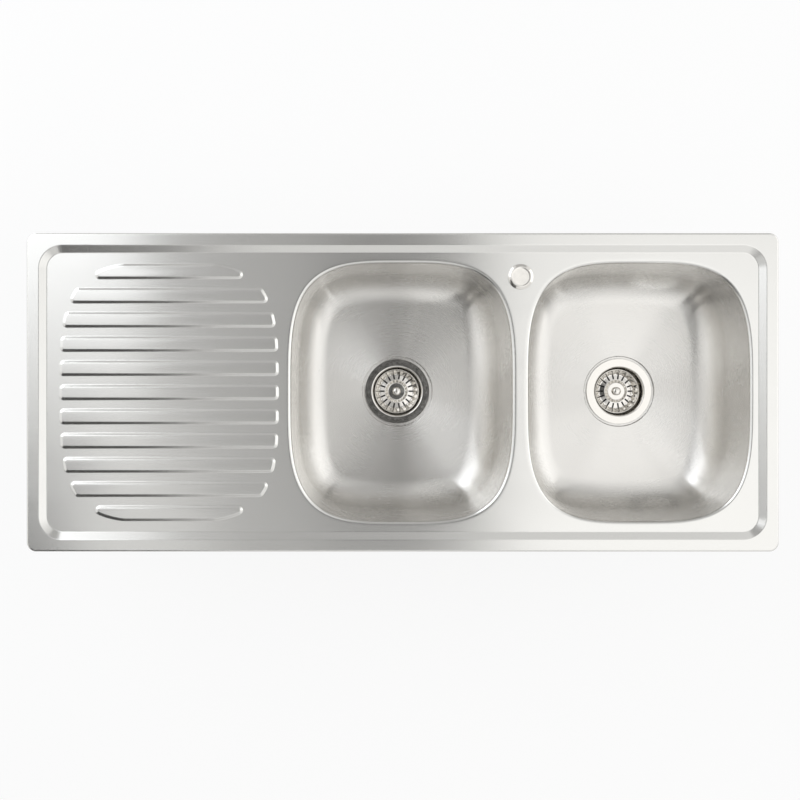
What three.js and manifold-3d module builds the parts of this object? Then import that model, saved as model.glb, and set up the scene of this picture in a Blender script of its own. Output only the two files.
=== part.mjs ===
// A stainless steel inset kitchen sink: a pressed drainer deck with two bowls welded into it, two basket
// strainer wastes, a capped tap hole, a foam rim seal and eight clips that clamp it into a worktop.
// Millimetres, +Z up, +X towards the second bowl, +Y towards the wall. The origin is the centre of the
// outline on the plane of the worktop's upper face.
import * as THREE from "three";
import { mergeVertices } from "three/addons/utils/BufferGeometryUtils.js";
import Module from "manifold-3d";

const wasm = await Module();
wasm.setup();

// ---- Driving dimensions ----

// Deck: the flat border, the step down inside it and the pressed field.
const SINK_LENGTH = 1180;
const SINK_WIDTH = 500;
const SHEET = 0.8;
const FIT_GAP = 0.3; // between pieces that are welded, bonded or seated on each other
const OUTLINE_CORNER_RADIUS = 15;
const RIM_HEIGHT = 7; // top of the border above the worktop
const RIM_EDGE_RADIUS = 3;
const SKIRT_CLEARANCE = 0.3; // the skirt's lower edge above the worktop
const BORDER_WIDTH = 18;
const STEP_RUN = 13.5;
const STEP_DROP = 5.5;
const STEP_CORNER_RADIUS = 38;

// Bowls: each mouth is a superellipse, and every section below it is that curve moved inwards.
const BOWL_HALF_LENGTH = 173.5;
const BOWL_HALF_WIDTH = 202.5;
const BOWL_SQUARENESS = 3.6; // exponent of the superellipse
const BOWL_END_MARGIN = 44; // from the end of the outline to the right bowl's mouth
const BOWL_GAP = 27; // between the two mouths
const BOWL_DEPTH = 161.5; // from the deck to the edge of the drain recess
const BOWL_LIP_RADIUS = 7;
const BOWL_DRAFT = THREE.MathUtils.degToRad(4.5);
const BOWL_FLOOR_RADIUS = 50;
const FLOOR_FALL = 1.5;
const DRAIN_HOLE_RADIUS = 45;
const DRAIN_RECESS_DEPTH = 2.5;
const DRAIN_RECESS_MARGIN = 3; // between the strainer's flange and the wall of its recess
const DRAIN_RECESS_SLOPE = 2;
const PAD_THICKNESS = 2.5;
const PAD_OUTER_SHARE = 0.12; // of the way from the floor's edge to the drain recess
const PAD_INNER_SHARE = 0.9;

// Drainer: raised ribs cut to length by one superellipse.
const RIB_COUNT = 11;
const RIB_PITCH = 38;
const RIB_WIDTH = 26;
const RIB_HEIGHT = 2.5;
const RIB_SLOPE = 5.6;
const RIB_CORNER_RADIUS = 8;
const DRAINER_END_MARGIN = 50; // from the end of the outline to the longest rib
const DRAINER_SIDE_MARGIN = 2.4; // from the outermost rib to the side of the superellipse
const DRAINER_HALF_LENGTH = 173;
const DRAINER_SQUARENESS = 3.7;

// Basket strainer wastes. Depths are below the top of the strainer's flange.
const FLANGE_RADIUS = 55;
const FLANGE_INNER_RADIUS = 47;
const CUP_RADIUS = 40.5;
const CUP_LEDGE_DEPTH = 32;
const CUP_LEDGE_RADIUS = 32;
const CUP_LEDGE_FALL = 3;
const CUP_DEPTH = 44;
const CUP_HOLES = 6;
const CUP_HOLE_RADIUS = 6;
const CUP_HOLE_CIRCLE = 19;
const GASKET_THICKNESS = 1.2;
const GASKET_OVERHANG = 2; // how far the gaskets stop short of the flange's edge
const LOWER_GASKET_THICKNESS = 2;
const BODY_FLANGE_THICKNESS = 3;
const BODY_WALL = 3;
const BODY_CUP_CLEARANCE = 1.5;
const BODY_CUP_DEPTH = 50;
const BODY_CONE_HEIGHT = 16;
const OUTLET_RADIUS = 23.9; // 1 1/2 inch pipe thread, outside
const OUTLET_BORE_RADIUS = 19.5;
const OUTLET_LENGTH = 26;
const BODY_WEB_THICKNESS = 3;
const BODY_WEBS = 4;
const BODY_BOSS_RADIUS = 8;
const BODY_BOSS_LENGTH = 10;
const WASTE_SCREW_RADIUS = 3;
const WASTE_SCREW_HEAD_RADIUS = 7;
const WASTE_SCREW_HEAD_HEIGHT = 3;
const WASTE_SCREW_GRIP = 8; // thread inside the boss

// Strainer basket, in the same depths.
const BASKET_SHEET = 0.7;
const BASKET_RIM_RADIUS = 37.5;
const BASKET_RIM_WIDTH = 1.8;
const BASKET_RIM_DEPTH = 15;
const BASKET_DEPTH = 29;
const BASKET_FLOOR_RADIUS = 29.5;
const BASKET_SLOTS = 18;
const BASKET_SLOT_WIDTH = 2.6;
const BASKET_SLOT_INNER = 20.5;
const BASKET_SLOT_OUTER = 28;
const BASKET_FLUTE = 0.9; // how far the wall steps in and out
const BASKET_CHAMFER = 1; // between the wall and the floor
const BASKET_BOSS_RADIUS = 19;
const BASKET_BOSS_TOP_RADIUS = 14.5;
const BASKET_BOSS_HEIGHT = 5;
const KNOB_RADIUS = 7;
const KNOB_NECK_RADIUS = 3.5;
const KNOB_HEIGHT = 9;
const KNOB_HEAD_HEIGHT = 4;
const KNOB_CROWN = 2.8; // height of its domed top
const KNOB_CHAMFER = 1; // under its head
const STEM_RADIUS = 4;
const STEM_SPIGOT_RADIUS = 2.2;
const SEAL_THICKNESS = 2.4;
const SEAL_LIP = 2.5; // how far the seal reaches over the cup's ledge
const STEM_COLLAR_RADIUS = 8;
const STEM_FOOT_RADIUS = 5.5;
const STEM_COLLAR_THICKNESS = 1;

// Tap hole and its cap.
const TAP_HOLE_SETBACK = 68.5; // from the back of the outline, midway between the bowls
const TAP_HOLE_RADIUS = 17.5;
const TAP_CAP_RADIUS = 20;
const TAP_CAP_SHEET = 0.6;
const TAP_CAP_HEIGHT = 3.4;
const TAP_CAP_SHOULDER = 1.8; // height of the rounding at the cap's edge
const TAP_CAP_DISH = 1.1;
const TAP_CAP_BEAD = 6;
const TAP_STUD_RADIUS = 3;
const TAP_STUD_LENGTH = 24;
const TAP_STUD_HEAD_RADIUS = 8;
const TAP_STUD_HEAD_THICKNESS = 1;
const TAP_SEAL_WIDTH = 1.6;
const TAP_WASHER_RADIUS = 19.5;
const TAP_WASHER_THICKNESS = 1.5;
const WING_NUT_RADIUS = 5.5;
const WING_NUT_HEIGHT = 7;
const WING_SPAN = 26;
const WING_HEIGHT = 11;
const WING_THICKNESS = 1.8;
const WING_ROOT = 1; // how far the wings reach into the nut

// Foam seal under the border.
const SEAL_STRIP_WIDTH = 8;
const SEAL_STRIP_INSET = 3;

// Clips.
const CLIP_END_MARGIN = 70; // from the ends of the outline
const CLIP_BOWL_MARGIN = 30; // from the first bowl's mouth
const CLIP_SIDE_MARGIN = 40; // from the sides of the outline
const CLIP_SHEET = 1.5;
const BRACKET_LENGTH = 42;
const BRACKET_FOOT = 11;
const BRACKET_WIDTH = 14;
const BRACKET_DROP = 19;
const CLIP_SCREW_RADIUS = 2.5;
const CLIP_SCREW_HEAD_RADIUS = 4.8;
const CLIP_SCREW_HEAD_HEIGHT = 3.4;
const CLIP_SCREW_CHAMFER = 0.6;
const CLIP_SCREW_TOP = 2; // how far the slackened screw stands above the bracket's bridge
const FOOT_LEVEL = 50; // upper face of the foot below the worktop's upper face
const FOOT_SHEET = 2;
const FOOT_REACH = 46;
const FOOT_TAIL = 11;
const FOOT_TIP_HEIGHT = 10;
const FOOT_TAIL_HEIGHT = 4;
const FOOT_WIDTH = 15;
const FOOT_PLAY = 0.4;

// ---- Places worked out from them ----

const DECK_TOP = RIM_HEIGHT - STEP_DROP;
const DECK_UNDERSIDE = DECK_TOP - SHEET;
const BOWL_TOP = DECK_TOP - BOWL_LIP_RADIUS - FIT_GAP;
const FLOOR_LEVEL = DECK_TOP - BOWL_DEPTH; // at the edge of the drain recess
const FLOOR_EDGE_LEVEL = FLOOR_LEVEL + FLOOR_FALL;
const RECESS_LEVEL = FLOOR_LEVEL - DRAIN_RECESS_DEPTH;
const RECESS_RADIUS = FLANGE_RADIUS + DRAIN_RECESS_MARGIN;
const RECESS_MOUTH_RADIUS = RECESS_RADIUS + DRAIN_RECESS_SLOPE;
const FLANGE_TOP = RECESS_LEVEL + 2 * FIT_GAP + GASKET_THICKNESS + SHEET;
const RIGHT_BOWL_X = SINK_LENGTH / 2 - BOWL_END_MARGIN - BOWL_HALF_LENGTH;
const BOWL_XS = { left: RIGHT_BOWL_X - 2 * BOWL_HALF_LENGTH - BOWL_GAP, right: RIGHT_BOWL_X };
const TAP_HOLE_X = (BOWL_XS.left + BOWL_XS.right) / 2;
const TAP_HOLE_Y = SINK_WIDTH / 2 - TAP_HOLE_SETBACK;
const DRAINER_X = DRAINER_END_MARGIN + DRAINER_HALF_LENGTH - SINK_LENGTH / 2;
const DRAINER_HALF_WIDTH = ((RIB_COUNT - 1) * RIB_PITCH + RIB_WIDTH) / 2 + DRAINER_SIDE_MARGIN;

const TURN = 2 * Math.PI;
const BOWL_POINTS = 36;
const RIB_END_SEGMENTS = 3;
const RIB_CORNER_SEGMENTS = 2;
const CORNER_SEGMENTS = 4;
const LIP_SEGMENTS = 3;
const FLOOR_FILLET_SEGMENTS = 4;
const ROUND_SEGMENTS = 24;
const SMALL_SEGMENTS = 16;
const SCREW_SEGMENTS = 8;
const KNOB_CROWN_SEGMENTS = 3;
const SHEET_REACH = 0.5; // how far a cutter or a joined piece goes past the face it crosses

// ---- Finishes ----

const finish = (color, roughness, metalness) =>
  new THREE.MeshStandardMaterial({ color, roughness, metalness });
const SATIN_STEEL = finish("#c8c7c3", 0.32, 1);
const BOWL_STEEL = finish("#c4c2bd", 0.28, 1);
const POLISHED_STEEL = finish("#cfcdc8", 0.18, 1);
const ZINC_STEEL = finish("#b6b8b5", 0.45, 0.9);
const BLACK_RUBBER = finish("#1d1d1c", 0.8, 0);
const GREY_FOAM = finish("#4b4c4d", 0.95, 0);
const BITUMEN = finish("#2b2a29", 0.9, 0);
const BLACK_PLASTIC = finish("#222324", 0.45, 0);
const WHITE_PLASTIC = finish("#dddcd6", 0.5, 0);

// ---- Solids from loops ----

// A smooth rise from 0 to 1, level at both ends, as pressed sheet bends.
const smooth = (share) => share * share * (3 - 2 * share);
const shares = (count) => Array.from({ length: count + 1 }, (_, k) => k / count);

// A closed body through a stack of loops with equal point counts. The stack is capped at both ends, or
// joined last to first if it wraps.
function body(loops, wraps = false) {
  const count = loops[0].length;
  const positions = loops.flat().flatMap((p) => [p.x, p.y, p.z]);
  const faces = [];
  const bands = wraps ? loops.length : loops.length - 1;
  for (let band = 0; band < bands; band++) {
    const low = band * count;
    const high = ((band + 1) % loops.length) * count;
    for (let i = 0; i < count; i++) {
      const j = (i + 1) % count;
      faces.push(low + i, low + j, high + j, low + i, high + j, high + i);
    }
  }
  if (!wraps) {
    const last = (loops.length - 1) * count;
    const flat = (loop) => loop.map((p) => new THREE.Vector2(p.x, p.y));
    for (const [a, b, c] of THREE.ShapeUtils.triangulateShape(flat(loops[0]), [])) faces.push(c, b, a);
    for (const [a, b, c] of THREE.ShapeUtils.triangulateShape(flat(loops.at(-1)), []))
      faces.push(last + a, last + b, last + c);
  }
  const geometry = new THREE.BufferGeometry();
  geometry.setAttribute("position", new THREE.Float32BufferAttribute(positions, 3));
  geometry.setIndex(faces);
  return solid(geometry);
}

// A manifold-3d solid from a closed three.js geometry, turned outside out if its faces point inwards.
function solid(geometry) {
  const bare = geometry.clone();
  bare.deleteAttribute("normal");
  bare.deleteAttribute("uv");
  const merged = mergeVertices(bare, 1e-4);
  const vertProperties = new Float32Array(merged.attributes.position.array);
  const triVerts = new Uint32Array(merged.index.array);
  const made = new wasm.Manifold(new wasm.Mesh({ numProp: 3, vertProperties, triVerts }));
  if (made.volume() > 0) return made;
  return new wasm.Manifold(new wasm.Mesh({ numProp: 3, vertProperties, triVerts: triVerts.reverse() }));
}

function geometryOf(made) {
  const mesh = made.getMesh();
  const geometry = new THREE.BufferGeometry();
  geometry.setAttribute("position", new THREE.Float32BufferAttribute(mesh.vertProperties, 3));
  geometry.setIndex(new THREE.Uint32BufferAttribute(mesh.triVerts, 1));
  return geometry;
}

// Turned pieces: a profile of [radius, height] points that starts and ends on the axis or closes on itself.
function turned(profile, segments = ROUND_SEGMENTS) {
  const points = profile.map(([radius, height]) => new THREE.Vector2(radius, height));
  const closes = profile[0][0] > 0;
  const lathe = new THREE.LatheGeometry(closes ? [...points, points[0]] : points, segments);
  return solid(lathe.rotateX(Math.PI / 2));
}

const cylinder = (radius, low, high, segments = ROUND_SEGMENTS) =>
  turned([[0, low], [radius, low], [radius, high], [0, high]], segments);
const tube = (inner, outer, low, high, segments = ROUND_SEGMENTS) =>
  turned([[inner, low], [outer, low], [outer, high], [inner, high]], segments);
const box = (x, y, z) => solid(new THREE.BoxGeometry(x, y, z));

// A strip of sheet: an outline in X and Z, drawn out along Y about the middle.
function strip(points, width) {
  const outline = new THREE.Shape(points.map(([x, z]) => new THREE.Vector2(x, z)));
  const geometry = new THREE.ExtrudeGeometry(outline, { depth: width, bevelEnabled: false });
  return solid(geometry.rotateX(Math.PI / 2)).translate([0, width / 2, 0]);
}

const ringOf = (count, place) => Array.from({ length: count }, (_, k) => place((k / count) * TURN, k));
const joined = (solids) => solids.reduce((whole, piece) => whole.add(piece));
const spread = (piece, count) =>
  joined(ringOf(count, (angle) => piece.rotate([0, 0, THREE.MathUtils.radToDeg(angle)])));

// ---- Curves ----

// Rounded rectangle about the origin.
function roundedLoop(halfX, halfY, radius, z) {
  const corners = [[1, 1, 0], [-1, 1, 1], [-1, -1, 2], [1, -1, 3]];
  return corners.flatMap(([sideX, sideY, quarter]) =>
    shares(CORNER_SEGMENTS).map((share) => {
      const angle = ((quarter + share) * Math.PI) / 2;
      const x = sideX * (halfX - radius) + radius * Math.cos(angle);
      const y = sideY * (halfY - radius) + radius * Math.sin(angle);
      return new THREE.Vector3(x, y, z);
    }),
  );
}

const power = (value, exponent) => Math.sign(value) * Math.abs(value) ** exponent;

// The outward normal of a superellipse at a point of it.
function superellipseNormal(x, y, halfLength, halfWidth, squareness) {
  const along = power(x / halfLength, squareness - 1) / halfLength;
  const across = power(y / halfWidth, squareness - 1) / halfWidth;
  return new THREE.Vector2(along, across).normalize();
}

// The bowl's mouth, with the normal of each point, so that sections below keep a true distance from it.
const MOUTH = ringOf(BOWL_POINTS, (angle) => {
  const x = BOWL_HALF_LENGTH * power(Math.cos(angle), 2 / BOWL_SQUARENESS);
  const y = BOWL_HALF_WIDTH * power(Math.sin(angle), 2 / BOWL_SQUARENESS);
  const normal = superellipseNormal(x, y, BOWL_HALF_LENGTH, BOWL_HALF_WIDTH, BOWL_SQUARENESS);
  return { x, y, normal };
});

const insetLoop = (inset, z) =>
  MOUTH.map((p) => new THREE.Vector3(p.x - inset * p.normal.x, p.y - inset * p.normal.y, z));
const roundLoop = (radius, z) =>
  ringOf(BOWL_POINTS, (angle) => new THREE.Vector3(radius * Math.cos(angle), radius * Math.sin(angle), z));

// ---- Deck ----

// One face of the pressed sheet, as a solid block below it: up the skirt, over the border and down the
// step. The underside's block is the upper one taken in by the sheet's thickness.
function pressing(thickness, foot) {
  const edge = RIM_EDGE_RADIUS - thickness;
  const outline = (inset, z) =>
    roundedLoop(SINK_LENGTH / 2 - inset, SINK_WIDTH / 2 - inset, OUTLINE_CORNER_RADIUS - inset, z);
  const skirt = [outline(thickness, foot)];
  for (const share of shares(3)) {
    const angle = (share * Math.PI) / 2;
    const inset = RIM_EDGE_RADIUS - edge * Math.cos(angle);
    skirt.push(outline(inset, RIM_HEIGHT - RIM_EDGE_RADIUS + edge * Math.sin(angle)));
  }
  const step = shares(4).map((share) => {
    const inset = BORDER_WIDTH + share * STEP_RUN;
    const radius = STEP_CORNER_RADIUS - share * STEP_RUN;
    const z = RIM_HEIGHT - thickness - STEP_DROP * smooth(share);
    return roundedLoop(SINK_LENGTH / 2 - inset, SINK_WIDTH / 2 - inset, radius, z);
  });
  return body([...skirt, ...step]);
}

// The right-hand end of a drainer rib, as the points that its outline keeps one distance from and the
// directions it lies in: round a corner, along the superellipse, and round the other corner.
function ribEnd(index) {
  const middle = (index - (RIB_COUNT - 1) / 2) * RIB_PITCH;
  const half = RIB_WIDTH / 2 - RIB_CORNER_RADIUS;
  const halfLength = DRAINER_HALF_LENGTH - RIB_CORNER_RADIUS;
  const halfWidth = DRAINER_HALF_WIDTH - RIB_CORNER_RADIUS;
  const edge = shares(RIB_END_SEGMENTS).map((share) => {
    const y = THREE.MathUtils.lerp(middle - half, middle + half, share);
    const x = halfLength * (1 - Math.abs(y / halfWidth) ** DRAINER_SQUARENESS) ** (1 / DRAINER_SQUARENESS);
    const angle = superellipseNormal(x, y, halfLength, halfWidth, DRAINER_SQUARENESS).angle();
    return { x, y, angle: angle > Math.PI ? angle - TURN : angle };
  });
  const corner = (point, from, to) =>
    shares(RIB_CORNER_SEGMENTS).map((share) => {
      return { ...point, angle: THREE.MathUtils.lerp(from, to, share) };
    });
  const [first, last] = [edge[0], edge.at(-1)];
  return [
    ...corner(first, -Math.PI / 2, first.angle).slice(0, -1),
    ...edge,
    ...corner(last, last.angle, Math.PI / 2).slice(1),
  ];
}

// One drainer rib's outline, taken in by an inset.
function ribLoop(index, inset, z) {
  const distance = RIB_CORNER_RADIUS - inset;
  const end = ribEnd(index).map((p) =>
    [p.x + distance * Math.cos(p.angle), p.y + distance * Math.sin(p.angle)]);
  const right = end.map(([x, y]) => new THREE.Vector3(DRAINER_X + x, y, z));
  const left = end.map(([x, y]) => new THREE.Vector3(DRAINER_X - x, y, z)).reverse();
  return [...right, ...left];
}

function rib(index, drop) {
  const rise = shares(2).map((share) =>
    ribLoop(index, share * RIB_SLOPE, DECK_TOP - drop + RIB_HEIGHT * smooth(share)));
  return body([ribLoop(index, 0, DECK_TOP - drop - (drop ? SHEET_REACH : SHEET / 2)), ...rise]);
}

// The deck's edge rolls down into each bowl as a quarter round.
function bowlLip(x) {
  const roll = (radius) =>
    shares(LIP_SEGMENTS).map((share) => {
      const angle = (share * Math.PI) / 2;
      const level = DECK_TOP - BOWL_LIP_RADIUS + radius * Math.cos(angle);
      return insetLoop(radius * Math.sin(angle) - BOWL_LIP_RADIUS, level);
    });
  const tongue = -BOWL_LIP_RADIUS - 2 * SHEET_REACH;
  const upper = [insetLoop(tongue, DECK_TOP), ...roll(BOWL_LIP_RADIUS)];
  const lower = [insetLoop(tongue, DECK_UNDERSIDE), ...roll(BOWL_LIP_RADIUS - SHEET)];
  return body([...upper, ...lower.reverse()], true).translate([x, 0, 0]);
}

function deck() {
  const indices = Array.from({ length: RIB_COUNT }, (_, k) => k);
  const bowlXs = Object.values(BOWL_XS);
  const opening = body([
    insetLoop(-BOWL_LIP_RADIUS - SHEET_REACH, DECK_UNDERSIDE - SHEET_REACH),
    insetLoop(-BOWL_LIP_RADIUS - SHEET_REACH, DECK_TOP + SHEET_REACH),
  ]);
  const tapHole = cylinder(TAP_HOLE_RADIUS, DECK_UNDERSIDE - SHEET_REACH, DECK_TOP + SHEET_REACH);
  return pressing(0, SKIRT_CLEARANCE)
    .subtract(pressing(SHEET, SKIRT_CLEARANCE - SHEET_REACH))
    .subtract(joined(bowlXs.map((x) => opening.translate([x, 0, 0]))))
    .add(joined(bowlXs.map(bowlLip)))
    .add(joined(indices.map((k) => rib(k, 0))))
    .subtract(joined(indices.map((k) => rib(k, SHEET))))
    .subtract(tapHole.translate([TAP_HOLE_X, TAP_HOLE_Y, 0]));
}

// ---- Bowls ----

const FLOOR_FILLET_LEVEL = FLOOR_EDGE_LEVEL + BOWL_FLOOR_RADIUS;
const WALL_FOOT = FLOOR_FILLET_LEVEL - BOWL_FLOOR_RADIUS * Math.sin(BOWL_DRAFT);
const WALL_INSET = (BOWL_TOP - WALL_FOOT) * Math.tan(BOWL_DRAFT);
const FLOOR_INSET = WALL_INSET + BOWL_FLOOR_RADIUS * Math.cos(BOWL_DRAFT);

// The bowl's inner face, or its outer one a sheet's thickness away.
function bowlFace(thickness) {
  const fillet = shares(FLOOR_FILLET_SEGMENTS).map((share) => {
    const angle = THREE.MathUtils.lerp(BOWL_DRAFT, Math.PI / 2, share);
    const radius = BOWL_FLOOR_RADIUS + thickness;
    return insetLoop(FLOOR_INSET - radius * Math.cos(angle), FLOOR_FILLET_LEVEL - radius * Math.sin(angle));
  });
  return [
    insetLoop(-thickness / Math.cos(BOWL_DRAFT), BOWL_TOP),
    ...fillet,
    roundLoop(RECESS_MOUTH_RADIUS + thickness, FLOOR_LEVEL - thickness),
    roundLoop(RECESS_RADIUS + thickness, RECESS_LEVEL - thickness),
    roundLoop(DRAIN_HOLE_RADIUS, RECESS_LEVEL - thickness),
  ];
}

const bowl = () => body([...bowlFace(0), ...bowlFace(SHEET).reverse()], true);

// A damping pad bonded under the floor, which follows the floor's fall.
function soundPad() {
  const under = SHEET + FIT_GAP;
  const rim = insetLoop(FLOOR_INSET, FLOOR_EDGE_LEVEL - under);
  const mouth = roundLoop(RECESS_MOUTH_RADIUS + SHEET, FLOOR_LEVEL - under);
  const across = (share, drop) =>
    rim.map((p, k) => {
      const point = p.clone().lerp(mouth[k], share);
      return point.setZ(point.z - drop);
    });
  return body([
    across(PAD_OUTER_SHARE, 0),
    across(PAD_INNER_SHARE, 0),
    across(PAD_INNER_SHARE, PAD_THICKNESS),
    across(PAD_OUTER_SHARE, PAD_THICKNESS),
  ], true);
}

// ---- Wastes ----

const depth = (below) => FLANGE_TOP - below;
const CUP_MOUTH_RADIUS = FLANGE_INNER_RADIUS - CUP_RADIUS;
const LOWER_GASKET_TOP = RECESS_LEVEL - SHEET - FIT_GAP;
const BODY_TOP = LOWER_GASKET_TOP - LOWER_GASKET_THICKNESS - FIT_GAP;
const BODY_BORE = CUP_RADIUS + SHEET + BODY_CUP_CLEARANCE;
const GASKET_RADIUS = FLANGE_RADIUS - GASKET_OVERHANG;
const BOSS_TOP = depth(CUP_DEPTH + SHEET + FIT_GAP);
const SCREW_HEAD_SEAT = depth(CUP_DEPTH - FIT_GAP);
const SCREW_HOLE_RADIUS = WASTE_SCREW_RADIUS + FIT_GAP;

// The strainer's flange rolls into a deep cup, which ends in a ledge and a drilled bottom.
function strainerCup() {
  const roll = (radius) =>
    shares(4).map((share) => {
      const angle = (share * Math.PI) / 2;
      const level = depth(CUP_MOUTH_RADIUS) + radius * Math.cos(angle);
      return [FLANGE_INNER_RADIUS - radius * Math.sin(angle), level];
    });
  const face = (t) => [
    [FLANGE_RADIUS, depth(t)],
    ...roll(CUP_MOUTH_RADIUS - t),
    [CUP_RADIUS + t, depth(CUP_LEDGE_DEPTH)],
    [CUP_LEDGE_RADIUS + t, depth(CUP_LEDGE_DEPTH + CUP_LEDGE_FALL + t / 2)],
    [CUP_LEDGE_RADIUS + t, depth(CUP_DEPTH + t)],
    [SCREW_HOLE_RADIUS, depth(CUP_DEPTH + t)],
  ];
  const [under, over] = [depth(CUP_DEPTH + 2 * SHEET), depth(CUP_DEPTH - SHEET)];
  const hole = cylinder(CUP_HOLE_RADIUS, under, over, SCREW_SEGMENTS).translate([CUP_HOLE_CIRCLE, 0, 0]);
  return turned([...face(0), ...face(SHEET).reverse()]).subtract(spread(hole, CUP_HOLES));
}

const gasket = (foot, thickness) => tube(FLANGE_INNER_RADIUS, GASKET_RADIUS, foot, foot + thickness);
const cupGasket = () => gasket(RECESS_LEVEL + FIT_GAP, GASKET_THICKNESS);
const lowerGasket = () => gasket(LOWER_GASKET_TOP - LOWER_GASKET_THICKNESS, LOWER_GASKET_THICKNESS);

// The plastic body under the bowl: a flange, a cup round the strainer, webs that carry the screw's boss,
// and a threaded outlet.
function wasteBody() {
  const coneTop = depth(BODY_CUP_DEPTH);
  const coneFoot = coneTop - BODY_CONE_HEIGHT;
  const shell = turned([
    [BODY_BORE, BODY_TOP],
    [GASKET_RADIUS, BODY_TOP],
    [GASKET_RADIUS, BODY_TOP - BODY_FLANGE_THICKNESS],
    [BODY_BORE + BODY_WALL, BODY_TOP - BODY_FLANGE_THICKNESS],
    [BODY_BORE + BODY_WALL, coneTop],
    [OUTLET_RADIUS, coneFoot],
    [OUTLET_RADIUS, coneFoot - OUTLET_LENGTH],
    [OUTLET_BORE_RADIUS, coneFoot - OUTLET_LENGTH],
    [OUTLET_BORE_RADIUS, coneFoot],
    [BODY_BORE, coneTop],
  ]);
  const bossFoot = BOSS_TOP - BODY_BOSS_LENGTH;
  const boss = cylinder(BODY_BOSS_RADIUS, bossFoot, BOSS_TOP, SCREW_SEGMENTS);
  const webTop = coneTop + BODY_WEB_THICKNESS;
  const webReach = BODY_BORE + BODY_WALL / 2;
  const web = box(webReach, BODY_WEB_THICKNESS, webTop - bossFoot)
    .translate([webReach / 2, 0, (webTop + bossFoot) / 2]);
  const inside = turned([
    [0, webTop + SHEET_REACH],
    [webReach, webTop + SHEET_REACH],
    [webReach, coneTop],
    [OUTLET_BORE_RADIUS + BODY_WALL / 2, coneFoot],
    [OUTLET_BORE_RADIUS + BODY_WALL / 2, bossFoot - SHEET_REACH],
    [0, bossFoot - SHEET_REACH],
  ]);
  const screwHole =
    cylinder(SCREW_HOLE_RADIUS, bossFoot - SHEET_REACH, BOSS_TOP + SHEET_REACH, SCREW_SEGMENTS);
  return shell.add(spread(web, BODY_WEBS).intersect(inside)).add(boss).subtract(screwHole);
}

const wasteScrew = () => turned([
  [0, SCREW_HEAD_SEAT + WASTE_SCREW_HEAD_HEIGHT],
  [WASTE_SCREW_HEAD_RADIUS - WASTE_SCREW_HEAD_HEIGHT / 2, SCREW_HEAD_SEAT + WASTE_SCREW_HEAD_HEIGHT],
  [WASTE_SCREW_HEAD_RADIUS, SCREW_HEAD_SEAT + WASTE_SCREW_HEAD_HEIGHT / 2],
  [WASTE_SCREW_HEAD_RADIUS, SCREW_HEAD_SEAT],
  [WASTE_SCREW_RADIUS, SCREW_HEAD_SEAT],
  [WASTE_SCREW_RADIUS, BOSS_TOP - WASTE_SCREW_GRIP],
  [0, BOSS_TOP - WASTE_SCREW_GRIP],
], SCREW_SEGMENTS);

// ---- Strainer baskets ----

const BOSS_FLAT = depth(BASKET_DEPTH - BASKET_BOSS_HEIGHT);
const LEDGE_SLOPE = CUP_LEDGE_FALL / (CUP_RADIUS - CUP_LEDGE_RADIUS);
const SEAL_FOOT = depth(CUP_LEDGE_DEPTH + CUP_LEDGE_FALL) + FIT_GAP;
const SEAL_TOP = SEAL_FOOT + SEAL_THICKNESS;
const STEM_HOLE_RADIUS = STEM_SPIGOT_RADIUS + FIT_GAP;

// A pressed basket: a rolled rim, a fluted wall, a slotted floor and a raised boss. Its wall steps in and
// out once for each slot.
function basket() {
  const count = 2 * BASKET_SLOTS;
  const loop = (radius, level, flute = 0) =>
    ringOf(count, (angle, k) => {
      const r = radius + (k % 2 ? flute : -flute);
      return new THREE.Vector3(r * Math.cos(angle), r * Math.sin(angle), level);
    });
  const waist = (BASKET_RIM_RADIUS + BASKET_FLOOR_RADIUS) / 2;
  const face = (t) => [
    loop(BASKET_RIM_RADIUS - BASKET_RIM_WIDTH + t, depth(BASKET_RIM_DEPTH + t)),
    loop(waist + t, depth((BASKET_RIM_DEPTH + BASKET_DEPTH) / 2), BASKET_FLUTE),
    loop(BASKET_FLOOR_RADIUS + t, depth(BASKET_DEPTH - BASKET_CHAMFER), BASKET_FLUTE),
    loop(BASKET_FLOOR_RADIUS - BASKET_CHAMFER, depth(BASKET_DEPTH + t)),
    loop(BASKET_BOSS_RADIUS - t, depth(BASKET_DEPTH + t)),
    loop(BASKET_BOSS_TOP_RADIUS - t, BOSS_FLAT - t),
    loop(STEM_HOLE_RADIUS, BOSS_FLAT - t),
  ];
  const rolled = [
    loop(BASKET_RIM_RADIUS, depth(BASKET_RIM_DEPTH + BASKET_SHEET)),
    loop(BASKET_RIM_RADIUS, depth(BASKET_RIM_DEPTH)),
  ];
  const pressed = body([...face(0), ...face(BASKET_SHEET).reverse(), ...rolled], true);
  const slotLength = BASKET_SLOT_OUTER - BASKET_SLOT_INNER;
  const slot = box(slotLength, BASKET_SLOT_WIDTH, 3 * BASKET_SHEET)
    .translate([BASKET_SLOT_INNER + slotLength / 2, 0, depth(BASKET_DEPTH + BASKET_SHEET / 2)]);
  return pressed.subtract(spread(slot, BASKET_SLOTS));
}

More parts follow.
